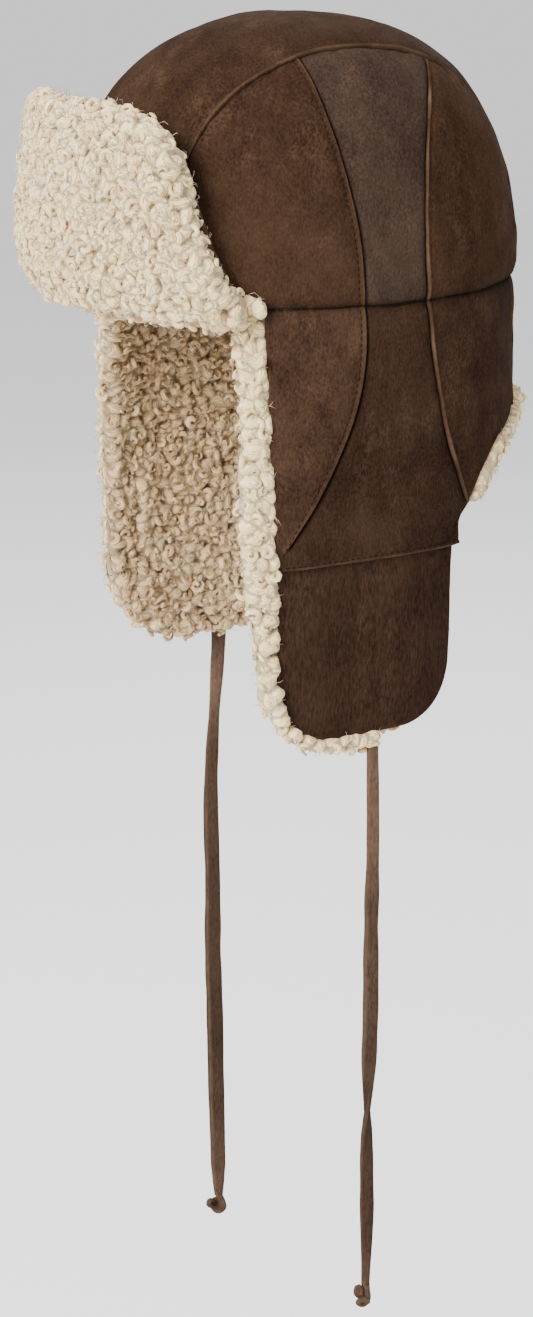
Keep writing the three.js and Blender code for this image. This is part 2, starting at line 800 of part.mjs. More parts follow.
// An overhand knot: a squat ball with the short end of the tie standing out of it on a bight
function knot(side) {
  const route = tieRoute(side);
  const end = route[route.length - 1];
  const ball = new THREE.SphereGeometry(0.5, 10, 7);
  ball.rotateX(Math.PI / 2);
  ball.scale(KNOT_WIDTH * KNOT.thickness, KNOT_WIDTH, KNOT_HEIGHT);
  const bight = new THREE.TorusGeometry(KNOT_WIDTH * KNOT.bight, KNOT_TAIL / 2, 6, 10);
  bight.rotateY(Math.PI / 2);
  bight.translate(0, -KNOT_WIDTH * KNOT.aside, KNOT_HEIGHT * KNOT.lift);
  const geometry = geometryFrom(solidFrom(ball).add(solidFrom(bight)));
  geometry.computeBoundingBox();
  return geometry.translate(end.x, end.y, end.z - TIE_GAP - geometry.boundingBox.max.z);
}

const helmet = new THREE.Group();

function add(name, geometry, kind) {
  const mesh = new THREE.Mesh(geometry, kind);
  mesh.name = name;
  helmet.add(mesh);
}

function addPair(name, geometry, kind) {
  add(`${name}_left`, geometry, kind);
  add(`${name}_right`, mirrored(geometry), kind);
}

add('crown_strip', crownStrip(), MATERIALS.crown);
add('nape_panel', napePanel(), MATERIALS.skirt);
for (const [name, geometry] of Object.entries(upperPanels())) {
  addPair(name, geometry, name === 'crown_middle' ? MATERIALS.middle : MATERIALS.crown);
}
for (const [name, geometry] of Object.entries(skirtPanels())) addPair(name, geometry, MATERIALS.skirt);
addPair('ear_flap', earFlap(), MATERIALS.flap);
add('lining_crown', liningCrown(), MATERIALS.fleece);
add('lining_nape', liningNape(), MATERIALS.fleece);
addPair('lining_ear', liningEar(), MATERIALS.fleece);
add('visor_leather', visorLeather(), MATERIALS.middle);
add('visor_fleece', visorFleece(), MATERIALS.fleece);
for (const side of ['left', 'right']) {
  add(`tie_${side}`, tie(side), MATERIALS.tie);
  add(`knot_${side}`, knot(side), MATERIALS.tie);
}

export default helmet;
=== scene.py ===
"""Looks for the leather flying helmet: suede panels with lapped seams, a curly fleece lining,
a turned-up fleece visor and two hanging ties. Shapes are worked out in millimetres."""
import math

import bpy
import numpy as np
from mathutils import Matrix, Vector
from mathutils.kdtree import KDTree


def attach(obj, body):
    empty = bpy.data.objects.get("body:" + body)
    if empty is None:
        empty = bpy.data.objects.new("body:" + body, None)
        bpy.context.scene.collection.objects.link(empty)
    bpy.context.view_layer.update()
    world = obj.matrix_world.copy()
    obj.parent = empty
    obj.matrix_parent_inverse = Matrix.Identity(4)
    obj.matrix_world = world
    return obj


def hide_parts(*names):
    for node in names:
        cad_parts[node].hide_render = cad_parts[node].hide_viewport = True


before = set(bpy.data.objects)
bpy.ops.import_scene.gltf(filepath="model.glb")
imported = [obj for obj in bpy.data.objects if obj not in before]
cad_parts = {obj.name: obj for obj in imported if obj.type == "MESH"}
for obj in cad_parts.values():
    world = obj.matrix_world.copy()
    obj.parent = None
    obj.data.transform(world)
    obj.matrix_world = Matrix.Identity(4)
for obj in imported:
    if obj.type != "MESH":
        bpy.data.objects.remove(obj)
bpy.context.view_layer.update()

MM = 0.001

# The helmet's own sizes, in millimetres: the same names and values as the part's source
HALF_LENGTH = 112
HALF_WIDTH = 92
CROWN_HEIGHT = 121
STRIP_HALF_WIDTH = 54
NAPE_HALF_WIDTH = 47
HEM_DROP = 118
NAPE_DROP = 64
FLAP_DROP = 205
FLAP_FRONT = 51
FLAP_REAR = 44.5
FLAP_CORNER = 30
FLAP_TUCK = 8
HEM_FRONT = 51.5
HEM_REAR = 47
BROW_CORNER = 54
LEATHER = 1.6
PANEL_PUFF = 0.9
LAYER_GAP = 0.6
PILE_LIP = 14
HEM_LIP = 5
BROW_ROLL = 6.5
VISOR_HEIGHT = 89
VISOR_FOOT = 3
VISOR_HALF_TURN = 58
VISOR_STAND = 6.5
VISOR_CLOSE = 0.5
TIE_WIDTH = 7.4
TIE_THICKNESS = 2.6
TIE_GAP = 0.3
TIE_INSET = 1
ROUNDNESS = {"brow": 2.25, "ear": 2.6, "nape": 2.4}
FLATNESS = {"brow": 2.9, "nape": 2.25}
FLAT_DROP = 110
STRIP_TURNS = [0, 0.25, 0.42, 0.55, 0.65, 0.76, 0.88, 1]
STRIP_SHARES = [1.02, 0.98, 1, 0.96, 0.87, 0.81, 0.82, 0.87]
UPPER_FRONT = [(0, -0.086), (0.28, -0.109), (0.52, -0.149), (0.75, -0.188), (0.92, -0.212)]
UPPER_REAR = [(0, 0.22), (0.26, 0.205), (0.45, 0.211), (0.65, 0.24), (0.82, 0.3)]
SEAM_MEETS = {"front": 0.42, "rear": 0.64}
LOWER_FRONT = [(0, -0.086), (0.19, -0.08), (0.38, -0.117), (0.56, -0.19), (0.73, -0.286), (0.9, -0.407)]
LOWER_REAR = [(0, 0.22), (0.19, 0.248), (0.38, 0.291), (0.57, 0.345), (0.72, 0.413), (0.84, 0.466)]
REAR_EDGE = [(0.72, 0.56), (0.61, 0.68)]
SEAM_RUNOUT = 0.95
REAR_RUNOUT = 0.9
PANEL_CORNER = {"front": 0.24, "rear": 0.76}
VISOR_RISE = [0, 0.05, 0.18, 0.34, 0.55, 0.75, 0.89, 1]
VISOR_LEAN = [0, 0.03, 0.85, 1, 0.85, 0.5, 0.15, -0.2]
VISOR_SPAN = [1, 0.99, 0.925, 0.86, 0.8, 0.735, 0.64, 0.48]
TIE_ROUTES = {
    "left": [
        (-0.5, 0), (-0.4, 7), (0.1, 25), (0.7, 50), (0.9, 72), (0.7, 95), (0.9, 120), (1.3, 145),
        (1.1, 170), (0.6, 192), (0.3, 212), (0.5, 232), (1, 252), (1.4, 272), (1.5, 294), (1.3, 315),
    ],
    "right": [
        (2.4, 0), (2.2, 8), (0.9, 28), (-0.9, 52), (-2.6, 78), (-3.5, 104), (-3.3, 128), (-2.8, 150),
        (-2.9, 174), (-3.1, 200), (-2.5, 226), (-2.1, 254), (-1.9, 284), (-1.4, 312), (-1, 340), (-0.8, 367),
    ],
}

# What follows from those sizes, and the two sides with the sign of their x
LAYER = LEATHER + LAYER_GAP
FLAP_SIZES = (FLAP_FRONT, FLAP_REAR, FLAP_DROP, FLAP_CORNER, FLAP_CORNER)
SIDES = {"left": 1, "right": -1}


def lerp(a, b, share):
    return a + (b - a) * share


def smooth(value, low, high):
    share = np.clip((value - low) / (high - low), 0, 1)
    return share * share * (3 - 2 * share)


def read_off(table, place):
    """A table's second column at places along its first."""
    table = np.asarray(table, float)
    return np.interp(place, table[:, 0], table[:, 1])


def ripple(points, wavelength, seed, waves=9):
    """A soft random field from about -1 to 1 at an array of points."""
    rng = np.random.default_rng(seed)
    total = np.zeros(points.shape[:-1])
    for _ in range(waves):
        direction = rng.normal(size=points.shape[-1])
        direction *= 2 * math.pi / wavelength / np.linalg.norm(direction) * rng.uniform(0.6, 1.5)
        total += np.sin(points @ direction + rng.uniform(0, 2 * math.pi))
    return total / math.sqrt(waves / 2) * 0.6


# Camera, in metres and degrees, fitted to the photo
CAMERA_PLACE = (0.8894, -0.4571, 0.160)
CAMERA_TURN = (70.4, 0, 63.45)
CAMERA_LENS = 56.42


def make_camera():
    data = bpy.data.cameras.new("camera")
    data.sensor_width = 36
    data.lens = CAMERA_LENS
    data.clip_start = 0.01
    data.clip_end = 50
    camera = bpy.data.objects.new("camera", data)
    camera.location = CAMERA_PLACE
    camera.rotation_euler = [math.radians(turn) for turn in CAMERA_TURN]
    bpy.context.collection.objects.link(camera)
    bpy.context.scene.camera = camera


make_camera()


# Meshes
def make_mesh(name, points, faces, attributes=None):
    """A mesh object from points in millimetres and a list of arrays of faces, each of one size."""
    mesh = bpy.data.meshes.new(name)
    points = np.asarray(points, dtype=float) * MM
    faces = [np.asarray(f, dtype=np.int32) for f in faces if len(f)]
    corners = np.concatenate([f.ravel() for f in faces])
    counts = np.concatenate([np.full(len(f), f.shape[1]) for f in faces])
    starts = np.concatenate([[0], np.cumsum(counts)[:-1]]).astype(np.int32)
    mesh.vertices.add(len(points))
    mesh.vertices.foreach_set("co", points.astype(np.float32).ravel())
    mesh.loops.add(len(corners))
    mesh.loops.foreach_set("vertex_index", corners)
    mesh.polygons.add(len(counts))
    mesh.polygons.foreach_set("loop_start", starts)
    mesh.update(calc_edges=True)
    for key, values in (attributes or {}).items():
        values = np.asarray(values, dtype=np.float32)
        kind = "FLOAT" if values.ndim == 1 else "FLOAT_VECTOR"
        field = "value" if values.ndim == 1 else "vector"
        mesh.attributes.new(key, kind, "POINT").data.foreach_set(field, values.ravel())
    mesh.validate()
    mesh.shade_smooth()
    made = bpy.data.objects.new(name, mesh)
    bpy.context.collection.objects.link(made)
    return made


def slab_faces(rows, columns):
    """The faces of a closed slab between two grids of points, the second after the first."""
    at = np.arange(rows * columns).reshape(rows, columns)
    behind = rows * columns
    a, b, c, d = at[:-1, :-1], at[:-1, 1:], at[1:, 1:], at[1:, :-1]
    front = np.stack([a, b, c, d], -1).reshape(-1, 4)
    back = np.stack([d, c, b, a], -1).reshape(-1, 4) + behind

    def edge(p, q):
        return np.stack([q, p, p + behind, q + behind], -1).reshape(-1, 4)

    return np.concatenate([
        front,
        back,
        edge(at[0, :-1], at[0, 1:]),
        edge(at[-1, 1:], at[-1, :-1]),
        edge(at[1:, 0], at[:-1, 0]),
        edge(at[:-1, -1], at[1:, -1]),
    ])


def facing_out(points, quads):
    p = points[quads]
    first = np.einsum("ij,ij->i", p[:, 0], np.cross(p[:, 1], p[:, 2]))
    second = np.einsum("ij,ij->i", p[:, 0], np.cross(p[:, 2], p[:, 3]))
    return quads if first.sum() + second.sum() > 0 else quads[:, ::-1]


def slab(outer, inner):
    """The points and the outward faces of a closed body between two grids."""
    cloud = np.concatenate([outer.reshape(-1, 3), inner.reshape(-1, 3)])
    return cloud, facing_out(cloud, slab_faces(*outer.shape[:2]))


# The shell that all panels lie on
def fill(points):
    x, y, z = points[..., 0], points[..., 1], points[..., 2]
    across, along = np.abs(x) / HALF_WIDTH, y / HALF_LENGTH
    flat = np.where(y < 0, FLATNESS["brow"], FLATNESS["nape"])
    level = lerp(2, flat, smooth(-z, 0, FLAT_DROP))
    below = (across**level + np.abs(along) ** level) ** (1 / level)
    around = np.hypot(across, along)
    facing = (along / np.maximum(around, 1e-9)) ** 2
    end = np.where(along < 0, ROUNDNESS["brow"], ROUNDNESS["nape"])
    power = lerp(ROUNDNESS["ear"], end, facing)
    above = (around**power + (np.maximum(z, 0) / CROWN_HEIGHT) ** power) ** (1 / power)
    return np.where(z <= 0, below, above)


def stacked(x, y, z):
    return np.stack(np.broadcast_arrays(x, y, z), -1).astype(float)


def on_shell(points):
    """The points of the shell that lie straight out from some points."""
    reach = fill(points)
    z = points[..., 2]
    return stacked(points[..., 0] / reach, points[..., 1] / reach, np.where(z > 0, z / reach, z))


def outward(points):
    """The direction square to the shell at each point."""
    step = 0.05
    slopes = []
    for axis in range(3):
        shift = np.zeros(3)
        shift[axis] = step
        slopes.append(fill(points + shift) - fill(points - shift))
    normal = np.stack(slopes, -1)
    return normal / np.linalg.norm(normal, axis=-1, keepdims=True)


def solve(rising, shape, most):
    """The root of a rising function between 0 and most, for an array."""
    low, high = np.zeros(shape), np.full(shape, float(most))
    for _ in range(34):
        middle = (low + high) / 2
        over = rising(middle) > 0
        high = np.where(over, middle, high)
        low = np.where(over, low, middle)
    return (low + high) / 2


def crown_point(across, turn):
    """The shell over a place across the crown, at a share of the turn from the brow to the nape."""
    across, turn = np.broadcast_arrays(np.asarray(across, float), np.asarray(turn, float))
    y, z = -HALF_LENGTH * np.cos(math.pi * turn), CROWN_HEIGHT * np.sin(math.pi * turn)
    reach = solve(lambda k: fill(stacked(across, y * k, z * k)) - 1, across.shape, 1.5)
    return stacked(across, y * reach, z * reach)


def side_point(y, z):
    """The left side of the shell at a place along and a height."""
    y, z = np.broadcast_arrays(np.asarray(y, float), np.asarray(z, float))
    x = solve(lambda value: fill(stacked(value, y, z)) - 1, y.shape, HALF_WIDTH * 1.5)
    return stacked(x, y, z)


def ring_point(degrees, z):
    """The shell at an angle round the head and a height below the level seam."""
    turn = np.radians(degrees)
    points = stacked(HALF_WIDTH * np.cos(turn), HALF_LENGTH * np.sin(turn), z)
    return np.where(points[..., 2:] < 0, on_shell(points), points)


def angle_along(y):
    return np.degrees(np.arcsin(y / HALF_LENGTH))


def spline(points, per_span=24):
    """A smooth line through points, close together."""
    points = np.asarray(points, float)
    padded = np.concatenate([[2 * points[0] - points[1]], points, [2 * points[-1] - points[-2]]])
    lines = []
    for p0, p1, p2, p3 in zip(padded, padded[1:], padded[2:], padded[3:]):
        spans = [max(np.linalg.norm(b - a) ** 0.5, 1e-4) for a, b in ((p0, p1), (p1, p2), (p2, p3))]
        t1 = (p1 - p0) / spans[0] - (p2 - p0) / (spans[0] + spans[1]) + (p2 - p1) / spans[1]
        t2 = (p2 - p1) / spans[1] - (p3 - p1) / (spans[1] + spans[2]) + (p3 - p2) / spans[2]
        t1, t2 = t1 * spans[1], t2 * spans[1]
        t = np.linspace(0, 1, per_span, endpoint=False)[:, None]
        c2, c3 = -3 * p1 + 3 * p2 - 2 * t1 - t2, 2 * p1 - 2 * p2 + t1 + t2
        lines.append(p1 + t1 * t + c2 * t**2 + c3 * t**3)
    return np.concatenate([*lines, points[-1:]])


def along_line(line):
    """A function from a share of a line's length, 0 to 1, to a point of it."""
    steps = np.linalg.norm(np.diff(line, axis=0), axis=1)
    reached = np.concatenate([[0], np.cumsum(steps)]) / steps.sum()
    return lambda share: np.stack([np.interp(share, reached, line[:, axis]) for axis in range(3)], -1)


def curve_through(points):
    return along_line(spline(points))


strip_line = spline([(t, s, 0) for t, s in zip(STRIP_TURNS, STRIP_SHARES)])


def strip_edge(turn, shift):
    half = STRIP_HALF_WIDTH * read_off(strip_line[:, :2], turn)
    return crown_point(half + shift, turn)


def strip_stretch(from_turn, to_turn, shift):
    return lambda share: strip_edge(lerp(from_turn, to_turn, np.asarray(share, float)), shift)


def level_edge(from_degrees, to_degrees, z):
    return lambda share: ring_point(lerp(from_degrees, to_degrees, np.asarray(share, float)), z)


def seam_turn(name, shift):
    return SEAM_MEETS[name] + shift / HALF_LENGTH / math.pi


def upper_seam(name, rows, shift, strip_shift):
    end = strip_edge(seam_turn(name, shift), strip_shift)
    points = [side_point(along * HALF_LENGTH + shift, max(rise * end[2], 0.01)) for rise, along in rows]
    return curve_through([*points, end])


def drop_point(y, drop):
    return side_point(y, -max(drop * HEM_DROP, 0.01))


def lower_seam(rows, shift):
    return [drop_point(along * HALF_LENGTH + shift, drop) for drop, along in rows]


def front_edge(drop):
    return -lerp(BROW_CORNER, HEM_FRONT, drop)


def nape_point(across, shift, drop):
    x, z = np.broadcast_arrays(across * (NAPE_HALF_WIDTH + shift), -NAPE_DROP * np.asarray(drop, float))
    y = solve(lambda value: fill(stacked(x, value, z)) - 1, x.shape, HALF_LENGTH * 1.5)
    return stacked(x, y, z)


def patch(bottom, top, front, rear):
    """A surface of the shell stretched between four edges."""

    def surface(u, v):
        u1, v1 = u[..., None], v[..., None]
        low, high = (bottom(0.0), bottom(1.0)), (top(0.0), top(1.0))
        points = bottom(u) * (1 - v1) + top(u) * v1 + front(v) * (1 - u1) + rear(v) * u1
        points -= low[0] * (1 - u1) * (1 - v1) + low[1] * u1 * (1 - v1)
        points -= high[0] * (1 - u1) * v1 + high[1] * u1 * v1
        return on_shell(points)

    return surface


# Edges of a panel. Height of the leather's face at a distance from the edge, both in millimetres:
# lap is folded and topstitched over the next panel, under runs beneath one, groove is a plain seam,
# and fold is a free edge
PROFILES = {
    "lap": [
        (0, -0.9), (0.12, -0.2), (0.3, 0.35), (0.6, 0.72), (0.95, 0.78), (1.35, 0.6), (1.8, 0.3),
        (2.3, 0.06), (2.7, 0.0), (3.3, 0.14), (5, 0.3), (8, 0.16), (13, 0),
    ],
    "under": [(0, -0.8), (1.6, -0.85), (2.1, -0.8), (2.8, -0.3), (3.8, 0.08), (6, 0.14), (12, 0)],
    "groove": [(0, -1.7), (0.3, -1.4), (0.9, -0.9), (2, -0.4), (3.6, -0.02), (6, 0.3), (10, 0.34), (18, 0)],
    "fold": [
        (0, -0.8), (0.12, -0.4), (0.35, -0.08), (0.8, 0.16), (1.4, 0.14), (2.1, -0.02), (3.2, 0.08), (7, 0),
    ],
}
RUBBED = {"lap": 1.0, "under": 0.0, "groove": 0.12, "fold": 0.7}
# Painted shade in a seam: how dark the hide is painted in a groove and beside a lapping edge, where shade
# falls, where along a panel's edge that is, and how wide
SEAM_PAINTED_SHADE = {"lap": (0, 0, 1), "under": (0.42, 1.9, 0.6), "groove": (0.36, 0, 1.1), "fold": (0, 0, 1)}
NEAR_EDGE = [0, 0.12, 0.3, 0.6, 0.95, 1.35, 1.8, 2.3, 2.7, 3.3, 4.2, 5.4, 7]
STITCH_INSET = 2.7
STITCH_COLUMN = NEAR_EDGE.index(STITCH_INSET)


BATCH = 4000


def nearest_on(points, line):
    """Each point's distance to a line of points, and how far along the line that is."""
    start, step = line[:-1], np.diff(line, axis=0)
    length = np.maximum(np.linalg.norm(step, axis=1), 1e-9)
    begun = np.concatenate([[0], np.cumsum(length)[:-1]])
    flat = points.reshape(-1, 3)
    away, place = np.empty(len(flat)), np.empty(len(flat))
    for low in range(0, len(flat), BATCH):
        part = flat[low:low + BATCH, None, :] - start
        share = np.clip(np.einsum("nsk,sk->ns", part, step) / length**2, 0, 1)
        gap = np.linalg.norm(part - share[..., None] * step, axis=-1)
        best = gap.argmin(axis=1)
        rows = np.arange(len(best))
        away[low:low + BATCH] = gap[rows, best]
        place[low:low + BATCH] = begun[best] + share[rows, best] * length[best]
    return away.reshape(points.shape[:-1]), place.reshape(points.shape[:-1])


def crowd(length, spacing):
    """Shares of a length that come at fixed distances near both ends and evenly between them."""
    near = np.array(NEAR_EDGE) * min(1, 0.4 * length / NEAR_EDGE[-1])
    between = max(2, round((length - 2 * near[-1]) / spacing))
    middle = np.linspace(near[-1], length - near[-1], between + 1)[1:-1]
    return near / length, middle / length, 1 - near[::-1] / length


def panel_grid(surface, spacing):
    """The shares across and along a panel, with rows and columns close to all its edges."""
    fine = np.linspace(0, 1, 25)
    across, down = np.meshgrid(fine, fine)
    points = surface(across, down)
    widths = np.linalg.norm(np.diff(points, axis=1), axis=-1).sum(axis=1)
    heights = np.linalg.norm(np.diff(points, axis=0), axis=-1).sum(axis=0)
    columns = sum(len(part) for part in crowd(widths.max(), spacing))
    rows = sum(len(part) for part in crowd(heights.max(), spacing))

    def shares(length, count):
        near, middle, far = crowd(length, spacing)
        even = np.linspace(near[-1], far[0], count - 2 * len(near) + 2)[1:-1]
        return np.concatenate([near, even, far])

    down_nominal = shares(heights.max(), rows)
    across_nominal = shares(widths.max(), columns)
    u = np.stack([shares(np.interp(v, fine, widths), columns) for v in down_nominal])
    v = np.stack([shares(np.interp(a, fine, heights), rows) for a in across_nominal], axis=1)
    return u, v


PANEL_SPACING = 3.2
EDGE_POINTS = 260
# How low and how high a panel's face may go, and how high its back may go
LOWEST_LIFT, HIGHEST_LIFT, HIGHEST_BACK = -2.6, 2.2, 0.6
# Depth and length of the waves that every panel has, and how far one kind of edge fades into the next
BROAD_WAVES, SMALL_WAVES = (0.35, 46), (0.16, 17)
EDGE_FADE = 1.5
PUCKER = 0.12
SEWN_LINES = []


def leather_panel(name, surface, edges, options, side=1):
    """A suede panel: its face follows the shell, lifted and creased by what each edge is."""
    mirror = np.array([side, 1, 1])
    u, v = panel_grid(surface, options.get("spacing", PANEL_SPACING))
    points = surface(u, v)
    normals = outward(points)
    seed = options.get("seed", 1) + (50 if side < 0 else 0)
    depth = options.get("depth", 0)
    lift = options.get("puff", PANEL_PUFF) * (1 - (2 * u - 1) ** 4) * (1 - (2 * v - 1) ** 4) - depth
    rubbed = np.zeros(u.shape)
    hide = np.full(u.shape, options.get("hide", 0.5))
    waves = [
        height * ripple(points * mirror, length, seed + number)
        for number, (height, length) in enumerate((BROAD_WAVES, SMALL_WAVES))
    ]
    lift += waves[0] + waves[1]
    for number, (line, kinds) in enumerate(edges):
        line = line(np.linspace(0, 1, EDGE_POINTS))
        away, place = nearest_on(points, line)
        total = np.linalg.norm(np.diff(line, axis=0), axis=1).sum()
        begins = [0, *(share * total for share, _ in kinds[1:]), total + 50]
        for (_, kind), low, high in zip(kinds, begins, begins[1:]):
            weight = smooth(place, low - EDGE_FADE, low + EDGE_FADE) if low else 1
            weight = weight * (1 - smooth(place, high - EDGE_FADE, high + EDGE_FADE))
            lift += weight * read_off(PROFILES[kind], away)
            uneven = np.clip(ripple(place[..., None] + 17 * number, 34, seed + 5, 6), -1, 1)
            worn = RUBBED[kind] * (0.62 + 0.38 * uneven)
            rubbed = np.maximum(rubbed, weight * worn * (1 - smooth(away, 0.45, 1.5)))
            # Painted shade: the hide is darkened in a seam's groove and beside a lapping edge, where shade
            # falls, with a soft wider band round it
            shade, middle, width = SEAM_PAINTED_SHADE[kind]
            far = (away - middle) / width
            hide -= weight * shade * (np.exp(-(far**2)) + 0.3 * np.exp(-((far / 4) ** 2)))
            pucker = options.get("pucker", {}).get(number, PUCKER)
            wave = ripple(place[..., None] + 31 * number, 11, seed + 7 + number, 5)
            lift += weight * pucker * wave * np.exp(-away / 6) * smooth(away, 0.5, 2.5)
    for start, end, width, height in options.get("folds", []):
        line = np.array([start, end], float)
        away, place = nearest_on(points, line)
        length = np.linalg.norm(line[1] - line[0])
        faded = np.minimum(1, 0.4 + np.sin(math.pi * place / length))
        lift += height * faded * np.exp(-((away / width) ** 2)) * (1 if side > 0 else 0.6)
    lift = np.clip(lift, LOWEST_LIFT - depth, HIGHEST_LIFT)
    outer = (points + normals * lift[..., None]) * mirror
    inner = (points + normals * (np.minimum(lift, HIGHEST_BACK - depth) - LEATHER)[..., None]) * mirror
    for number, way in options.get("sewn", {}).items():
        SEWN_LINES.append((outer, normals * mirror, number, way))
    cloud, quads = slab(outer, inner)
    fields = {
        "rubbed": np.concatenate([rubbed.ravel(), np.zeros(rubbed.size)]),
        "hide": np.tile(hide.ravel(), 2),
    }
    made = make_mesh(f"suede_{name}", cloud, [quads], fields)
    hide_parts(name)
    return made


# Soft folds of the hide: from, to, width and height, for the left side and repeated on the right
FRONT_FOLDS = [
    ((67, -72, 42), (80, -54, 26), 7, -0.9),
    ((60, -78, 52), (76, -62, 38), 6, 0.5),
    ((53, -40, 100), (62, -34, 94), 4, -0.5),
    ((70, -30, 85), (84, -30, 50), 8, -0.35),
]
MIDDLE_FOLDS = [
    ((54, -7, 108), (61, -7.5, 102), 2.2, -0.8),
    ((56, -1, 107), (64, 0, 100), 2.2, 0.6),
    ((60, 26, 100), (70, 25, 89), 5, -0.7),
    ((57, 12, 105), (63, 12, 99), 2.5, -0.5),
    ((88, 5, 20), (84, 8, 50), 8, -0.5),
]
REAR_FOLDS = [
    ((79, 56, 25), (66, 76, 17), 2.6, -0.9),
    ((79, 57, 29), (70, 71, 24), 2.4, 0.6),
    ((73, 50, 66), (76, 52, 52), 8, -0.6),
    ((60, 48, 88), (66, 47, 80), 3, -0.5),
]
STRIP_FOLDS = [((45, 96, 26), (46, 99, 3), 6, 1.2)]
FLAP_FOLDS = [
    ((90, 27, -131), (88, 39, -119), 1.8, 0.7),
    ((90, 24, -128), (89, 34, -117), 2.2, -0.6),
    ((90, 31, -134), (88, 41, -124), 2.0, -0.4),
    ((91, -20, -150), (91, -12, -190), 9, -0.5),
]

# How far a panel reaches over or beneath the next one at a seam, and where the front seam runs out
OVER, BENEATH = 0.5, 1.1
TIP_RISE, TIP_FALL, TIP_INSET = 0.004, 0.006, 1.0
SEAM_SHARE, FOLD_SHARE = 0.8, 0.9
GROOVE, UNDER, LAP, FOLD = ([(0, kind)] for kind in ("groove", "under", "lap", "fold"))
front_tip = drop_point(front_edge(SEAM_RUNOUT - TIP_RISE), SEAM_RUNOUT - TIP_RISE)
front_runout = drop_point(front_edge(SEAM_RUNOUT + TIP_FALL) + TIP_INSET, SEAM_RUNOUT + TIP_FALL)
brow_angle = angle_along(strip_edge(0.0, 0)[1])
nape_angle = angle_along(strip_edge(1.0, 0)[1])
front_angle = angle_along(UPPER_FRONT[0][1] * HALF_LENGTH)
rear_angle = angle_along(UPPER_REAR[0][1] * HALF_LENGTH)
over_angle, beneath_angle = angle_along(OVER), angle_along(BENEATH)


def joined(first, second, share):
    """One line made of two, which change over at a share of it."""

    def point(at):
        at = np.asarray(at, float)
        begun = first(np.clip(at / share, 0, 1))
        ended = second(np.clip((at - share) / (1 - share), 0, 1))
        return np.where((at < share)[..., None], begun, ended)

    return point


def side_panels():
    """Each side panel's surface, its four edges with what they are, and its options."""
    turn_front, turn_rear = PANEL_CORNER["front"], PANEL_CORNER["rear"]
    made = {}

    def add(name, bottom, top, front, rear, kinds, **options):
        lines = (bottom, top, front, rear)
        made[name] = (patch(*lines), list(zip(lines, kinds)), options)

    add(
        "crown_front",
        level_edge(brow_angle, front_angle + over_angle, 0.01),
        strip_stretch(turn_front, seam_turn("front", OVER), -BENEATH),
        strip_stretch(0.0, turn_front, -BENEATH),
        upper_seam("front", UPPER_FRONT, OVER, -BENEATH),
        (GROOVE, UNDER, UNDER, LAP),
        seed=11,
        hide=0.43,
        folds=FRONT_FOLDS,
        slot="crown_suede",
        sewn={-1 - STITCH_COLUMN: "column"},
        pucker={1: 0.35, 2: 0.25},
    )
    add(
        "crown_middle",
        level_edge(front_angle - beneath_angle, rear_angle + beneath_angle, 0.01),
        strip_stretch(seam_turn("front", -BENEATH), seam_turn("rear", BENEATH), -BENEATH),
        upper_seam("front", UPPER_FRONT, -BENEATH, -BENEATH),
        upper_seam("rear", UPPER_REAR, BENEATH, -BENEATH),
        (GROOVE, UNDER, UNDER, UNDER),
        seed=12,
        hide=0.53,
        folds=MIDDLE_FOLDS,
        slot="middle_suede",
        pucker={1: 0.5},
    )
    add(
        "crown_rear",
        level_edge(rear_angle - over_angle, nape_angle, 0.01),
        strip_stretch(seam_turn("rear", -OVER), turn_rear, -BENEATH),
        upper_seam("rear", UPPER_REAR, -OVER, -BENEATH),
        strip_stretch(1.0, turn_rear, -BENEATH),
        (GROOVE, UNDER, LAP, UNDER),
        seed=13,
        hide=0.55,
        folds=REAR_FOLDS,
        slot="crown_suede",
        pucker={1: 0.8, 3: 0.7},
    )
    hem = [drop_point(y, 1) for y in (-HEM_FRONT, -HEM_FRONT / 2, 0, HEM_REAR / 2, HEM_REAR)]
    rear_seam = lower_seam(LOWER_REAR, -OVER)
    rear_edge = [rear_seam[-1], *lower_seam(REAR_EDGE, 0), nape_point(1, -BENEATH, 1)]
    front_top = drop_point(front_edge(0), 0)
    add(
        "skirt_front",
        level_edge(angle_along(front_edge(0)), front_angle + over_angle, -0.01),
        curve_through([front_tip, front_runout]),
        curve_through([front_top, lerp(front_top, front_tip, 0.5), front_tip]),
        curve_through([*lower_seam(LOWER_FRONT, OVER), front_runout]),
        (GROOVE, FOLD, FOLD, LAP),
        seed=21,
        hide=0.66,
        slot="skirt_suede",
        puff=PANEL_PUFF / 2,
        sewn={-1 - STITCH_COLUMN: "column"},
    )
    middle_front = lower_seam(LOWER_FRONT, -BENEATH)
    middle_rear = lower_seam(LOWER_REAR, BENEATH)
    add(
        "skirt_middle",
        level_edge(front_angle - beneath_angle, rear_angle + beneath_angle, -0.01),
        curve_through(hem),
        joined(
            curve_through(middle_front),
            curve_through([middle_front[-1], drop_point(front_edge(SEAM_RUNOUT), SEAM_RUNOUT), hem[0]]),
            SEAM_SHARE,
        ),
        joined(
            curve_through(middle_rear),
            curve_through([middle_rear[-1], drop_point(HEM_REAR, REAR_RUNOUT), hem[-1]]),
            SEAM_SHARE,
        ),
        (GROOVE, LAP, [(0, "under"), (FOLD_SHARE, "fold")], [(0, "under"), (SEAM_SHARE, "fold")]),
        seed=22,
        hide=0.43,
        slot="skirt_suede",
        puff=PANEL_PUFF / 2,
        sewn={-1 - STITCH_COLUMN: "row"},
    )
    add(
        "skirt_rear",
        level_edge(rear_angle - over_angle, angle_along(nape_point(1, -BENEATH, 0)[1]), -0.01),
        curve_through(rear_edge),
        curve_through(rear_seam),
        lambda share: nape_point(1, -BENEATH, share),
        (GROOVE, FOLD, LAP, UNDER),
        seed=23,
        hide=0.54,
        slot="skirt_suede",
        puff=PANEL_PUFF / 2,
    )
    return made


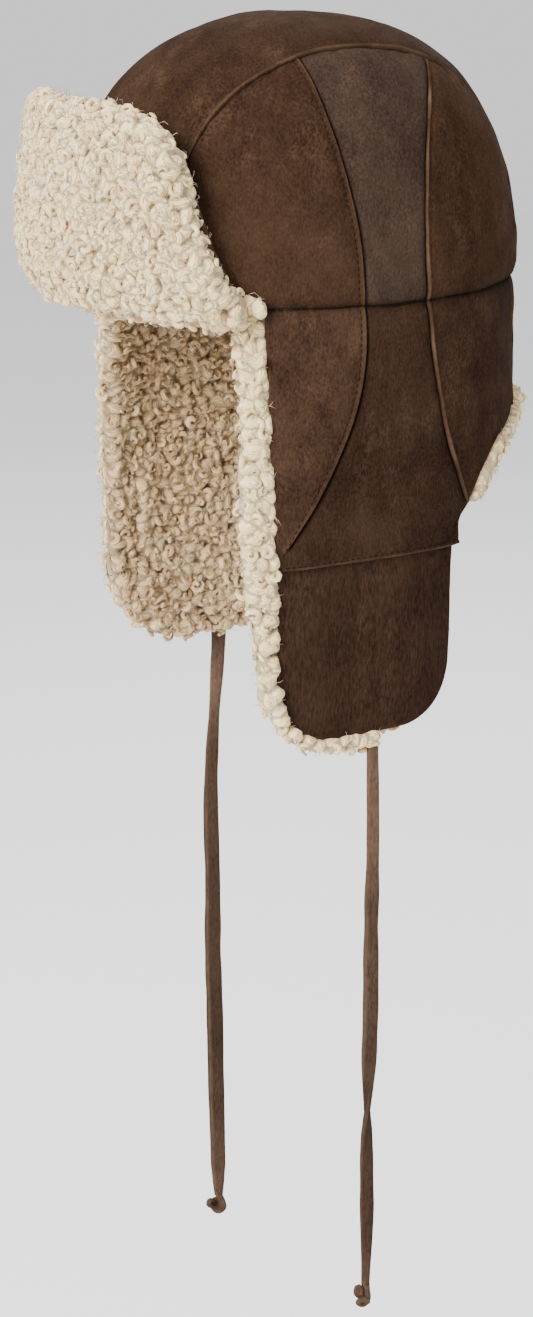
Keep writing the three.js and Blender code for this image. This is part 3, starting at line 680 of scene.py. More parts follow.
def flap_foot(y, front, rear, drop, front_corner, rear_corner):
    """The height of a lobe's lower edge, with its two corners rounded."""

    def rounded(past, corner):
        return np.where(past > 0, corner - np.sqrt(np.maximum(corner**2 - past**2, 0)), 0)

    fronting = rounded(front_corner - front - y, front_corner)
    return fronting + rounded(y - rear + rear_corner, rear_corner) - drop


def crowded(share, amount):
    """Shares from 0 to 1, drawn closer together at both ends."""
    return lerp(share, (1 - np.cos(math.pi * share)) / 2, amount)


FOOT_POINTS, FOOT_CROWDING = 160, 0.97


def ear_flap_parts():
    """An ear flap's surface and its free edge."""

    def surface(u, v):
        y = lerp(-FLAP_FRONT, FLAP_REAR, crowded(u, 0.85))
        return side_point(y, lerp(FLAP_TUCK - HEM_DROP, flap_foot(y, *FLAP_SIZES), v))

    def line(share):
        """Down the front edge, round the foot and up the rear edge."""
        y = lerp(-FLAP_FRONT, FLAP_REAR, crowded(np.linspace(0, 1, FOOT_POINTS), FOOT_CROWDING))
        foot = np.stack([y, flap_foot(y, *FLAP_SIZES)], -1)
        tops = np.array([[-FLAP_FRONT, FLAP_TUCK - HEM_DROP], [FLAP_REAR, FLAP_TUCK - HEM_DROP]])
        whole = np.concatenate([tops[:1], foot, tops[1:]])
        return along_line(side_point(whole[:, 0], whole[:, 1]))(share)

    return surface, line


# Suede, one material for each kind of hide
def node(tree, kind, at, **values):
    made = tree.nodes.new(kind)
    made.location = at
    for key, value in values.items():
        if key in made.inputs:
            made.inputs[key].default_value = value
        else:
            setattr(made, key, value)
    return made


def mixed(tree, factor, first, second, at, blend="MIX"):
    made = node(tree, "ShaderNodeMix", at, data_type="RGBA", blend_type=blend)
    for socket, value in ((made.inputs[0], factor), (made.inputs[6], first), (made.inputs[7], second)):
        if isinstance(value, (int, float, tuple)):
            socket.default_value = value
        else:
            tree.links.new(value, socket)
    return made.outputs[2]


def linear(red, green, blue):
    """A colour from its screen values, 0 to 255."""
    def one(value):
        value /= 255
        return value / 12.92 if value <= 0.04045 else ((value + 0.055) / 1.055) ** 2.4

    return (one(red), one(green), one(blue), 1.0)


LAMP_GAIN = 2.9


def new_material(name, settings):
    """A material with one shader, whose inputs are set by name."""
    material = bpy.data.materials.new(name)
    material.use_nodes = True
    tree = material.node_tree
    tree.nodes.clear()
    out = node(tree, "ShaderNodeOutputMaterial", (900, 0))
    shader = node(tree, "ShaderNodeBsdfPrincipled", (600, 0), **settings)
    tree.links.new(shader.outputs[0], out.inputs[0])
    return material, tree, shader


def ranged(tree, value, low, high, at):
    made = node(tree, "ShaderNodeMapRange", at)
    made.inputs["From Min"].default_value = low
    made.inputs["From Max"].default_value = high
    tree.links.new(value, made.inputs["Value"])
    return made.outputs["Result"]


def noise(tree, place, scale, at, detail=3.0, roughness=0.55):
    made = node(tree, "ShaderNodeTexNoise", at, Scale=scale, Detail=detail, Roughness=roughness)
    tree.links.new(place, made.inputs["Vector"])
    return made.outputs["Fac"]


def scaled(colour, gain):
    return tuple(gain * channel for channel in colour[:3]) + (1.0,)


def shown_as(red, green, blue):
    """The albedo that these lamps show as a dark screen colour."""
    return tuple(channel / LAMP_GAIN for channel in linear(red, green, blue)[:3]) + (1.0,)


def attribute(tree, name, at, socket="Fac"):
    return node(tree, "ShaderNodeAttribute", at, attribute_name=name).outputs[socket]


def times(tree, first, second, at):
    made = node(tree, "ShaderNodeMath", at, operation="MULTIPLY")
    tree.links.new(first, made.inputs[0])
    tree.links.new(second, made.inputs[1])
    return made.outputs[0]


def bumped(tree, height, at, strength, distance, under=None):
    made = node(tree, "ShaderNodeBump", at, Strength=strength, Distance=distance)
    tree.links.new(height, made.inputs["Height"])
    if under:
        tree.links.new(under, made.inputs["Normal"])
    return made.outputs[0]


# Scales of the hide's noises: slow clouds, blotches, fibres of the nap, wear along edges, and scuffs
CLOUDS, BLOTCHES, FIBRES, WEAR, SCUFFS = 17, 75, 900, 130, 42


def suede(name, dark, light, worn, stretch, grain):
    """Brushed hide: cloudy patches, fine nap that can run in one direction, and rubbed edges. Its colour is
    scaled by each point's tone, which also carries painted shade in the seams and the seam tape, and painted
    light and shade along the ties.
    """
    dark, light, worn = (shown_as(*colour) for colour in (dark, light, worn))
    material, tree, shader = new_material(name, {"Roughness": 0.95, "Specular IOR Level": 0.03})
    place = node(tree, "ShaderNodeTexCoord", (-1500, 0)).outputs["Object"]
    nap = node(tree, "ShaderNodeMapping", (-1300, -300))
    nap.inputs["Scale"].default_value = (1, 1, stretch)
    tree.links.new(place, nap.inputs["Vector"])
    run = nap.outputs[0]
    clouds = ranged(tree, noise(tree, place, CLOUDS, (-1100, 300), 4, 0.6), 0.38, 0.62, (-900, 300))
    blotch = ranged(tree, noise(tree, run, BLOTCHES, (-1100, 80), 5, 0.62), 0.38, 0.62, (-900, 80))
    fibres = ranged(tree, noise(tree, run, FIBRES, (-1100, -160), 3, 0.75), 0.36, 0.64, (-900, -160))
    base = mixed(tree, clouds, dark, light, (-650, 250))
    patchy = mixed(tree, 0.42, base, mixed(tree, blotch, dark, light, (-650, 50)), (-450, 150))
    fleck = mixed(tree, fibres, scaled(dark, 0.5), scaled(light, 1.7), (-450, -80))
    napped = mixed(tree, 0.3 * grain, patchy, fleck, (-250, 60))
    # Each point's tone: the panel's own tone, plus painted shade in seams and the seam tape and painted light
    # and shade along the ties
    hide = attribute(tree, "hide", (-450, -260))
    cast = mixed(tree, hide, (0.2, 0.2, 0.2, 1.0), (1.8, 1.8, 1.8, 1.0), (-250, -200))
    toned = mixed(tree, 1.0, napped, cast, (-100, 0), "MULTIPLY")
    rub = attribute(tree, "rubbed", (-900, -420))
    uneven = ranged(tree, noise(tree, place, WEAR, (-1100, -560), 3, 0.6), 0.15, 0.62, (-900, -560))
    scuffs = ranged(tree, noise(tree, run, SCUFFS, (-1100, -760), 4, 0.7), 0.53, 0.68, (-900, -760))
    scuffed = times(tree, scuffs, fibres, (-650, -700))
    scuff_tone = mixed(tree, scuffed, toned, mixed(tree, 0.48, toned, worn, (0, -350)), (0, -150))
    colour = mixed(tree, times(tree, rub, uneven, (-650, -460)), scuff_tone, worn, (150, 0))
    tree.links.new(colour, shader.inputs["Base Color"])
    soft = bumped(tree, blotch, (100, -500), 0.3, 0.0012)
    tree.links.new(bumped(tree, fibres, (300, -350), 0.5, 0.0003, soft), shader.inputs["Normal"])
    return material


def plain(name, colour):
    material, tree, shader = new_material(name, {"Roughness": 0.9, "Specular IOR Level": 0.1})
    place = node(tree, "ShaderNodeTexCoord", (-900, 0)).outputs["Object"]
    fine = ranged(tree, noise(tree, place, FIBRES, (-600, 0)), 0.3, 0.7, (-400, 0))
    tree.links.new(mixed(tree, fine, scaled(colour, 0.7), colour, (0, 0)), shader.inputs["Base Color"])
    return material


# The wool's screen colour at each tone; the ramp's first two stops are its ends
WOOL_TONES = [
    (0.0, (132, 102, 68)),
    (1.0, (255, 233, 184)),
    (0.3, (180, 148, 106)),
    (0.6, (236, 209, 164)),
]
WOOL_SHADER = {
    "Roughness": 0.9,
    "Specular IOR Level": 0.1,
    "Subsurface Weight": 0.25,
    "Subsurface Radius": (1.0, 0.8, 0.6),
    "Subsurface Scale": 0.0025,
    "Sheen Weight": 0.35,
    "Sheen Roughness": 0.5,
    "Sheen Tint": (1, 0.95, 0.88, 1),
}


def fleece_material():
    """Cream wool: warm and darker down between the locks, partly its own deeper colour and partly painted
    shade of the hollows, with fine strands along each lock.
    """
    material, tree, shader = new_material("fleece", WOOL_SHADER)
    place = node(tree, "ShaderNodeTexCoord", (-1500, 0)).outputs["Object"]
    wool_tone_and_shade = attribute(tree, "wool_tone_and_shade", (-1300, 200))
    strand = attribute(tree, "strand", (-1300, -100), "Vector")
    strands = ranged(tree, noise(tree, strand, 1.0, (-1050, -100), 2, 0.6), 0.3, 0.7, (-850, -100))
    clouds = ranged(tree, noise(tree, place, 45, (-1050, 400), 3, 0.6), 0.3, 0.7, (-850, 400))
    ramp = node(tree, "ShaderNodeValToRGB", (-850, 150))
    stops = ramp.color_ramp.elements
    for number, (share, colour) in enumerate(WOOL_TONES):
        stop = stops[number] if number < 2 else stops.new(share)
        stop.position = share
        stop.color = linear(*colour)
    tree.links.new(wool_tone_and_shade, ramp.inputs[0])
    warm = mixed(tree, 1.0, ramp.outputs[0], (0.95, 0.89, 0.8, 1.0), (-550, 250), "MULTIPLY")
    blended = mixed(tree, clouds, ramp.outputs[0], warm, (-350, 200))
    streaked = mixed(tree, strands, (0.75, 0.68, 0.57, 1.0), (1.0, 1.0, 1.0, 1.0), (-550, -100))
    colour = mixed(tree, 1.0, blended, streaked, (-100, 100), "MULTIPLY")
    tree.links.new(colour, shader.inputs["Base Color"])
    tree.links.new(bumped(tree, strands, (300, -350), 0.9, 0.0014), shader.inputs["Normal"])
    return material


# Each hide's name, its dark, light and worn screen colours, how its nap is drawn out, and how strong it is
HIDES = {
    "crown_suede": ("suede_crown", (58, 36, 26), (98, 72, 54), (138, 107, 82), 0.7, 1.0),
    "middle_suede": ("suede_middle", (62, 46, 41), (98, 79, 66), (130, 104, 80), 0.7, 1.0),
    "skirt_suede": ("suede_skirt", (50, 31, 23), (94, 70, 54), (132, 102, 78), 0.6, 1.0),
    "flap_suede": ("suede_flap", (46, 30, 24), (86, 63, 49), (120, 94, 73), 0.3, 1.2),
    "tie_leather": ("suede_tie", (82, 61, 49), (116, 92, 75), (140, 114, 92), 0.3, 1.0),
}
MATERIALS = {slot: suede(*hide) for slot, hide in HIDES.items()}
MATERIALS["fleece"] = fleece_material()
THREAD = plain("thread", shown_as(34, 22, 17))


def dress(made, slot):
    made.data.materials.append(MATERIALS[slot])
    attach(made, "root")


# Ties and knots
def tie_route(side):
    reach = HALF_WIDTH - (LEATHER + LAYER_GAP + LEATHER / 2 - TIE_THICKNESS / 2 + TIE_INSET)
    top = -FLAP_DROP - TIE_GAP
    return np.array([(reach * SIDES[side], sway, top - drop) for sway, drop in TIE_ROUTES[side]])


def swept(line, widths, depths, turns, corners=16, squareness=3.2, crease=0.0):
    """A band swept along a line: half widths, half depths and turns in degrees at each point of it."""
    tangents = np.gradient(line, axis=0)
    tangents /= np.linalg.norm(tangents, axis=1, keepdims=True)
    across = np.array([0.0, 1.0, 0.0])
    rings = []
    for point, tangent, width, depth, turn in zip(line, tangents, widths, depths, turns):
        across = across - tangent * across.dot(tangent)
        across /= np.linalg.norm(across)
        out = np.cross(tangent, across)
        c, s = math.cos(math.radians(turn)), math.sin(math.radians(turn))
        broad, thin = across * c + out * s, out * c - across * s
        angles = 2 * math.pi * (np.arange(corners) + 0.5) / corners
        x = np.sign(np.cos(angles)) * np.abs(np.cos(angles)) ** (2 / squareness)
        y = np.sign(np.sin(angles)) * np.abs(np.sin(angles)) ** (2 / squareness)
        y = y * (1 - crease * np.exp(-((x - 0.15) / 0.22) ** 2))
        rings.append(point + np.outer(x * width, broad) + np.outer(y * depth, thin))
    return np.array(rings)


def tube_faces(rings, corners, start=0):
    at = start + np.arange(rings * corners).reshape(rings, corners)
    turned = np.roll(at, -1, axis=1)
    sides = np.stack([at[:-1], turned[:-1], turned[1:], at[1:]], -1).reshape(-1, 4)
    return sides, at[:1, ::-1], at[-1:]


def resampled(line, step):
    length = np.linalg.norm(np.diff(line, axis=0), axis=1).sum()
    return along_line(line)(np.linspace(0, 1, max(4, round(length / step))))


# Each strip's turn in degrees, share of its width, and painted light and shade (lighter near its top, darker
# lower down and where it has twisted to show its shaded back), at drops below its top. It faces the camera at
# TIE_FACING, and one corner of its section is rubbed lighter, as its folded edge is
TIE_FACING = 26.5
TIE_FOLD_CORNER = 5
TIE_TWISTS = {
    "left": [
        (0, 0), (40, 6), (90, 10), (130, 20), (158, 26), (174, 40), (186, 62), (203, 104), (221, 158),
        (242, 182), (285, 196), (315, 200),
    ],
    "right": [(0, 10), (30, 22), (60, 8), (95, 6), (130, 20), (200, 30), (270, 16), (367, 26)],
}
TIE_WIDTHS = {
    "left": [
        (0, 0.82), (60, 0.88), (90, 0.98), (125, 1.05), (160, 1.1), (195, 1.0), (225, 1.02), (265, 1.04),
        (288, 0.84), (304, 0.68), (315, 0.6),
    ],
    "right": [
        (0, 1.1), (22, 1.05), (34, 0.95), (54, 0.78), (75, 1.02), (95, 1.1), (115, 1.18), (156, 1.2),
        (200, 1.3), (270, 1.34), (320, 1.26), (345, 1.22), (358, 0.98), (367, 0.66),
    ],
}
TIE_PAINTED_SHADING = {
    "left": [
        (0, 0.85), (20, 0.95), (60, 0.95), (95, 0.55), (140, 0.34), (180, 0.28), (203, 0.3), (225, 0.36),
        (290, 0.34), (315, 0.4),
    ],
    "right": [
        (0, 0.5), (34, 0.85), (54, 0.6), (80, 0.45), (115, 0.3), (180, 0.2), (260, 0.25), (320, 0.4),
        (367, 0.5),
    ],
}
TIE_STEP = 2.0
TIE_SEEDS = {"left": 71, "right": 72}


def make_tie(side):
    line = resampled(spline(tie_route(side)), TIE_STEP)
    drop = line[0, 2] - line[:, 2]
    turns = read_off(TIE_TWISTS[side], drop)
    ragged = ripple(drop[:, None], 38, TIE_SEEDS[side], 5)
    widths = TIE_WIDTH / 2 * (read_off(TIE_WIDTHS[side], drop) + 0.04 * ragged)
    edge_on = np.sin(np.radians(turns - TIE_FACING)) ** 2
    depths = TIE_THICKNESS / 2 * (1 - 0.06 * ragged + 0.3 * edge_on)
    rings = swept(line, widths, depths, turns, crease=0.35)
    corners = rings.shape[1]
    points = rings.reshape(-1, 3)
    angles = 2 * math.pi * (np.arange(corners) + 0.5) / corners
    edge = np.clip(np.abs(np.cos(angles)) * 1.6 - 0.9, 0, 1)
    folded = np.arange(corners) == TIE_FOLD_CORNER
    rubbed = (0.45 * edge + 0.75 * folded * smooth(drop, 60, 120)[:, None]).ravel()
    faces = tube_faces(len(rings), corners)
    # Painted light and shade along the strip: lighter near its top, darker lower down and where it shows its
    # shaded back
    hide = np.repeat(read_off(TIE_PAINTED_SHADING[side], drop), corners)
    made = make_mesh(f"strap_{side}", points, list(faces), {"rubbed": rubbed, "hide": hide})
    dress(made, "tie_leather")
    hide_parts(f"tie_{side}")
    return made, line


KNOT_LINES = {
    "left": [
        (0, 0, 3.5), (0, 0.2, 0), (0.2, 0.5, -4), (0.5, 0.9, -7.6), (0, 0.3, -10.6), (-0.8, -1.4, -11.8),
        (-0.9, -3.2, -10.2), (0.5, -2.6, -8.0), (1.7, -0.8, -7.6), (1.3, 0.6, -9.4), (-0.7, -0.2, -9.6),
        (-1.4, -2.2, -7.2), (-0.8, -4.2, -4.6), (-0.2, -4.9, -1.6), (-0.3, -4.1, 0.2), (0.3, -3.2, -1.6),
        (0.5, -3.1, -4.6),
    ],
    "right": [
        (0, 0, 3.5), (0, 0.2, 0), (-0.6, 1.8, -4.6), (-2.0, 2.0, -8.0), (-1.4, -1.2, -9.8), (1.0, -3.2, -7.6),
        (2.2, -2.2, -4.8), (1.6, 0.4, -4.6), (0.4, 0.2, -7.4), (-0.6, -2.6, -7.8), (-1.2, -5.0, -6.2),
        (-1.4, -7.2, -4.2), (-1.0, -6.8, -1.8), (-0.6, -4.8, -1.6),
    ],
}


# A knot's half width and half depth at shares of its length
KNOT_WIDTHS = [(0, 2.3), (0.12, 2.2), (0.3, 2.1), (0.8, 2.0), (1, 1.6)]
KNOT_DEPTHS = [(0, 1.2), (0.12, 1.4), (0.3, 1.6), (0.8, 1.3), (1, 0.9)]
KNOT_STEP = 0.8
KNOT_TURN = 150
KNOT_CORNERS = 14
KNOT_GAP = 0.4


def make_knot(side, start):
    """An overhand knot with its short end standing out."""
    shape = np.array(KNOT_LINES[side]) * np.array([SIDES[side], 1, 1])
    line = resampled(spline(start + shape), KNOT_STEP)
    share = np.linspace(0, 1, len(line))
    widths, depths = read_off(KNOT_WIDTHS, share), read_off(KNOT_DEPTHS, share)
    turns = np.linspace(0, KNOT_TURN, len(line))
    rings = swept(line, widths, depths, turns, corners=KNOT_CORNERS, squareness=2.6, crease=0.2)
    faces = tube_faces(len(rings), KNOT_CORNERS)
    points = rings.reshape(-1, 3)
    lumps = 0.3 + 0.3 * ripple(points, 6, 91)
    fields = {"rubbed": np.clip(lumps, 0, 0.7), "hide": np.full(len(points), 0.5)}
    made = make_mesh(f"tied_{side}", points, list(faces), fields)
    dress(made, "tie_leather")
    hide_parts(f"knot_{side}")
    return made


for side in SIDES:
    strap, centre_line = make_tie(side)
    tied = make_knot(side, centre_line[-1] - np.array([0, 0, KNOT_GAP]))


# Leather
def make_leather():
    def strip_surface(u, v):
        half = strip_edge(v, OVER)[..., 0]
        return crown_point(lerp(-half, half, u), v)

    def strip_end(turn):
        return lambda share: crown_point(lerp(-1, 1, share) * strip_edge(turn, OVER)[0], turn)

    def strip_side(side):
        return lambda share: strip_edge(share, OVER) * np.array([side, 1, 1])

    def nape_surface(u, v):
        return nape_point(2 * u - 1, OVER, v)

    def nape_end(drop):
        return lambda share: nape_point(2 * share - 1, OVER, drop)

    def nape_side(side):
        return lambda share: nape_point(side, OVER, share)

    kinds = (GROOVE, GROOVE, LAP, LAP)
    edges = list(zip((strip_end(0.0), strip_end(1.0), strip_side(-1), strip_side(1)), kinds))
    options = {"seed": 3, "spacing": 3.6, "hide": 0.39, "folds": STRIP_FOLDS}
    dress(leather_panel("crown_strip", strip_surface, edges, options), "crown_suede")
    kinds = (GROOVE, FOLD, LAP, LAP)
    edges = list(zip((nape_end(0.0), nape_end(1.0), nape_side(-1), nape_side(1)), kinds))
    sewn = {STITCH_COLUMN: "column", -1 - STITCH_COLUMN: "column"}
    options = {"seed": 5, "puff": PANEL_PUFF / 2, "sewn": sewn}
    dress(leather_panel("nape_panel", nape_surface, edges, options), "skirt_suede")
    for name, (surface, edges, options) in side_panels().items():
        for label, side in SIDES.items():
            dress(leather_panel(f"{name}_{label}", surface, edges, options, side), options["slot"])
    surface, line = ear_flap_parts()
    options = {"seed": 31, "puff": 0.4, "depth": LAYER, "folds": FLAP_FOLDS}
    for label, side in SIDES.items():
        dress(leather_panel(f"ear_flap_{label}", surface, [(line, FOLD)], options, side), "flap_suede")


make_leather()


# Seam tape: its half width, how far inside the brow's edge it starts, and how deep it is set
TAPE_HALF = 3
TAPE_INSET = 3
TAPE_TUCK = 0.15
TAPE_COLUMNS = 181


def make_seam_tape():
    """The turned edges behind the level seam, which close the small gaps between the panels' corners; they
    are painted the darkest tone, as painted shade inside those gaps.
    """
    start = float(angle_along(-(BROW_CORNER - TAPE_INSET)))
    degrees = np.linspace(start, 180 - start, TAPE_COLUMNS)[:, None]
    surface = ring_point(degrees, np.array([[TAPE_HALF, -TAPE_HALF, -TAPE_HALF, TAPE_HALF]]))
    depth = LEATHER + np.array([-TAPE_TUCK, -TAPE_TUCK, LAYER_GAP - TAPE_TUCK, LAYER_GAP - TAPE_TUCK])
    points = (surface - outward(surface) * depth[:, None]).reshape(-1, 3)
    faces = tube_faces(TAPE_COLUMNS, 4)
    # The darkest tone, unworn: painted shade of the gaps the tape shows through
    dark = {"rubbed": np.zeros(len(points)), "hide": np.zeros(len(points))}
    dress(make_mesh("level_seam_tape", points, list(faces), dark), "middle_suede")


make_seam_tape()


STITCH_PITCH, STITCH_MARGIN = 3.0, 2.5
STITCH_HALF, STITCH_RADIUS = 1.0, 0.25
STITCH_CORNERS = 5
STITCH_LOOK = 0.6
# Each ring of a stitch: its place as a share of half the length, and its share of the radius
STITCH_RINGS = [(-1.0, 0.35), (-0.45, 1.0), (0.45, 1.0), (1.0, 0.35)]


def at_reach(values, reached, place):
    return np.array([np.interp(place, reached, values[:, axis]) for axis in range(3)])


def make_stitches():
    """Short dark stitches along every topstitched edge, half sunk in the suede."""
    points, sides, ends = [], [], []
    rings = len(STITCH_RINGS)
    angles = 2 * math.pi * np.arange(STITCH_CORNERS) / STITCH_CORNERS
    for outer, normals, number, way in SEWN_LINES:
        line = outer[:, number] if way == "column" else outer[number]
        up = normals[:, number] if way == "column" else normals[number]
        steps = np.linalg.norm(np.diff(line, axis=0), axis=1)
        reached = np.concatenate([[0], np.cumsum(steps)])
        for middle in np.arange(STITCH_MARGIN, reached[-1] - STITCH_MARGIN, STITCH_PITCH):
            centre = at_reach(line, reached, middle)
            before = at_reach(line, reached, middle - STITCH_LOOK)
            along = (centre - before) / np.linalg.norm(centre - before)
            rise = at_reach(up, reached, middle)
            rise = rise - along * rise.dot(along)
            rise /= np.linalg.norm(rise)
            beside = np.cross(along, rise)
            ring = (np.outer(np.cos(angles), beside) + np.outer(np.sin(angles), rise)) * STITCH_RADIUS
            start = len(points) * rings * STITCH_CORNERS
            stitch = [
                centre + along * share * STITCH_HALF + rise * (0.02 - 0.12 * abs(share)) + ring * girth
                for share, girth in STITCH_RINGS
            ]
            points.append(np.concatenate(stitch))
            side_faces, low, high = tube_faces(rings, STITCH_CORNERS, start)
            sides.append(side_faces)
            ends += [low, high]
    made = make_mesh("stitching", np.concatenate(points), [np.concatenate(sides), np.concatenate(ends)])
    made.data.materials.append(THREAD)
    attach(made, "root")


make_stitches()


# Fleece
CURL_CORNERS, CURL_RINGS = 6, 9
HAIR_CORNERS, HAIR_RINGS = 3, 3
TUFTS_NEAR = 8
TUFT_CREST = 0.72
STRAND_PITCH = 1.0
# A curl's girth along it, from its root
CURL_GIRTH = [(0, 0.4), (0.2, 0.9), (0.5, 1.1), (0.8, 0.95), (0.93, 0.7), (1, 0.25)]
# Least and most of a hair's length, of how far it stands off, and of its sway
HAIR_LENGTH, HAIR_STAND, HAIR_SWAY = (1.5, 5.5), (0.6, 3.4), (-1.4, 1.4)


def indexed(points):
    """A search tree of points, each by its own number."""
    tree = KDTree(len(points))
    for number, point in enumerate(points.tolist()):
        tree.insert(point, number)
    tree.balance()
    return tree


def scattered(points, normals, areas, spacing, seed):
    """Roots spread evenly over the marked faces of a body."""
    rng = np.random.default_rng(seed)
    wanted = int(areas.sum() / spacing**2 * 5)
    chosen = rng.choice(len(areas), size=wanted, p=areas / areas.sum())
    a, b = rng.random(wanted), rng.random(wanted)
    weights = np.stack([(1 - a) * (1 - b), a * (1 - b), a * b, (1 - a) * b], -1)[..., None]
    roots = (points[chosen] * weights).sum(axis=1)
    ups = (normals[chosen] * weights).sum(axis=1)
    ups /= np.linalg.norm(ups, axis=1, keepdims=True)
    tree = indexed(roots)
    left = np.ones(wanted, bool)
    kept = []
    for number, root in enumerate(roots):
        if left[number]:
            kept.append(number)
            for _, other, _ in tree.find_range(root, spacing):
                left[other] = False
    return roots[kept], ups[kept], chosen[kept]


def across_of(ups, rng):
    """A random direction square to each of many directions."""
    spin = rng.normal(size=ups.shape)
    spin -= ups * (spin * ups).sum(axis=1, keepdims=True)
    return spin / np.linalg.norm(spin, axis=1, keepdims=True)


def tufted(body, roots, ups, size, slender, seed):
    """Height of the wool over each point of a body, its share of the full height, and where along
    and across its own bent tuft the point is."""
    rng = np.random.default_rng(seed)
    count = len(roots)
    lengthwise = across_of(ups, rng)
    sideways = np.cross(ups, lengthwise)
    long = size * rng.uniform(0.95, 1.25, count) * slender
    broad = size * rng.uniform(0.8, 1.1, count) / slender**0.5
    bend = rng.uniform(-0.2, 0.2, count)
    top = rng.uniform(0, 0.45 * size, count)
    parting = rng.uniform(-0.6, 0.6, count) * broad
    tree = indexed(roots)
    near = np.array([[found[1] for found in tree.find_n(point, TUFTS_NEAR)] for point in body.tolist()])
    offset = body[:, None] - roots[near]
    a = (offset * lengthwise[near]).sum(axis=-1)
    b = (offset * sideways[near]).sum(axis=-1) - bend[near] * a**2
    up = (offset * ups[near]).sum(axis=-1)
    out = np.sqrt((a / long[near]) ** 2 + (b / broad[near]) ** 2 + (up / size) ** 2)
    heights = top[near] + TUFT_CREST * size * (1 - out**2.3)
    heights -= 0.2 * size * np.exp(-(((b - parting[near]) / (0.24 * size)) ** 2)) * smooth(out, 0.1, 0.5)
    rows = np.arange(len(body))
    best = heights.argmax(axis=1)
    height = np.maximum(heights[rows, best], -0.35 * size)
    # Tone rises with the wool's height: darker down between the tufts, partly the wool's own deeper colour
    # and partly painted shade of the hollows
    share = np.clip(0.5 + 0.5 * height / (TUFT_CREST * size), 0, 1)
    chosen = near[rows, best]
    shade = rng.uniform(-0.1, 0.1, count)[chosen]
    own = rng.uniform(0, 90, count)[chosen]
    beside, along = b[rows, best] / STRAND_PITCH, 0.2 * a[rows, best] / STRAND_PITCH
    strand = np.stack([beside + own, along, own * 0.37], -1)
    return height, np.clip(share + shade, 0, 1), strand


def tube_set(line, girth, side, other, corners, start):
    """The points and faces of many tubes at once, one for each row of line."""
    count, rings = line.shape[:2]
    angles = 2 * math.pi * np.arange(corners) / corners
    ring = np.cos(angles)[:, None] * side[:, :, None] + np.sin(angles)[:, None] * other[:, :, None]
    points = line[:, :, None] + ring * girth[..., None, None]
    at = start + np.arange(count * rings * corners).reshape(count, rings, corners)
    turned = np.roll(at, -1, axis=2)
    sides = np.stack([at[:, :-1], turned[:, :-1], turned[:, 1:], at[:, 1:]], -1).reshape(-1, 4)
    ends = np.concatenate([at[:, 0, ::-1], at[:, -1]])
    return points, sides, ends


def curls(roots, ups, size, turns, seed, start):
    """A thick snail-like lock at each root: points, faces, and what the material reads."""
    rng = np.random.default_rng(seed)
    count = len(roots)
    t = np.linspace(0, 1, CURL_RINGS)
    spin = across_of(ups, rng)
    tilt = np.radians(rng.uniform(0, 65, count))[:, None]
    axis = ups * np.cos(tilt) + spin * np.sin(tilt)
    first = np.cross(axis, spin + 0.3 * ups)
    first /= np.linalg.norm(first, axis=1, keepdims=True)
    second = np.cross(axis, first) * rng.choice([-1, 1], count)[:, None]
    turn = np.radians(rng.uniform(0, 360, count)[:, None] + rng.uniform(*turns, count)[:, None] * t)
    grown = size * rng.uniform(0.7, 1.4, count)[:, None]
    reach = grown * lerp(0.95, 0.2, t**1.1)
    rise = grown * lerp(-0.5, rng.uniform(0.2, 0.7, count)[:, None], t**0.7)
    curve = (np.cos(turn) * reach)[..., None] * first[:, None]
    curve = curve + (np.sin(turn) * reach)[..., None] * second[:, None]
    line = roots[:, None] + curve + rise[..., None] * axis[:, None]
    tangent = np.gradient(line, axis=1)
    tangent /= np.linalg.norm(tangent, axis=2, keepdims=True)
    side = axis[:, None] - tangent * (axis[:, None] * tangent).sum(axis=2, keepdims=True)
    side /= np.linalg.norm(side, axis=2, keepdims=True)
    girth = grown * 0.37 * read_off(CURL_GIRTH, t)
    points, sides, ends = tube_set(line, girth, side, np.cross(tangent, side), CURL_CORNERS, start)
    light = rng.uniform(-0.12, 0.12, count)[:, None, None]
    height = ((points - roots[:, None, None]) * ups[:, None, None]).sum(axis=-1) / size
    # Lighter up the lock, darker near its root: partly the wool's own root colour, partly painted shade
    wool_tone_and_shade = np.clip(0.66 + 0.3 * height + light, 0, 1)
    angles = 2 * math.pi * np.arange(CURL_CORNERS) / CURL_CORNERS
    around = np.ones(points.shape[:3])
    own = rng.uniform(0, 60, count)[:, None, None]
    strand = np.stack([
        np.cos(angles) * around + own,
        np.sin(angles) * around + own * 0.37,
        (t * 0.8)[None, :, None] * around + own * 0.71,
    ], -1)
    return points.reshape(-1, 3), sides, ends, wool_tone_and_shade.ravel(), strand.reshape(-1, 3)


def hairs(points, ups, seed, start):
    """A fine loose hair arching out from each point."""
    rng = np.random.default_rng(seed)
    count = len(points)
    t = np.linspace(0, 1, HAIR_RINGS)
    lengthwise = across_of(ups, rng)
    sideways = np.cross(ups, lengthwise)
    spans = (HAIR_LENGTH, HAIR_STAND, HAIR_SWAY)
    length, stand, sway = (rng.uniform(*span, count)[:, None] for span in spans)
    line = (
        points[:, None]
        + (length * t)[..., None] * lengthwise[:, None]
        + (stand * np.sin(math.pi * 0.7 * t) - 0.25)[..., None] * ups[:, None]
        + (sway * t**2)[..., None] * sideways[:, None]
    )
    girth = np.ones((count, 1)) * np.linspace(0.15, 0.05, HAIR_RINGS)
    side, other = (np.repeat(way[:, None], HAIR_RINGS, axis=1) for way in (ups, sideways))
    cloud, sides, ends = tube_set(line, girth, side, other, HAIR_CORNERS, start)
    return cloud.reshape(-1, 3), sides, ends


def vertex_normals(points, quads):
    p = points[quads]
    face = np.cross(p[:, 2] - p[:, 0], p[:, 3] - p[:, 1])
    total = np.zeros_like(points)
    for corner in range(4):
        np.add.at(total, quads[:, corner], face)
    return total / np.maximum(np.linalg.norm(total, axis=1, keepdims=True), 1e-12)


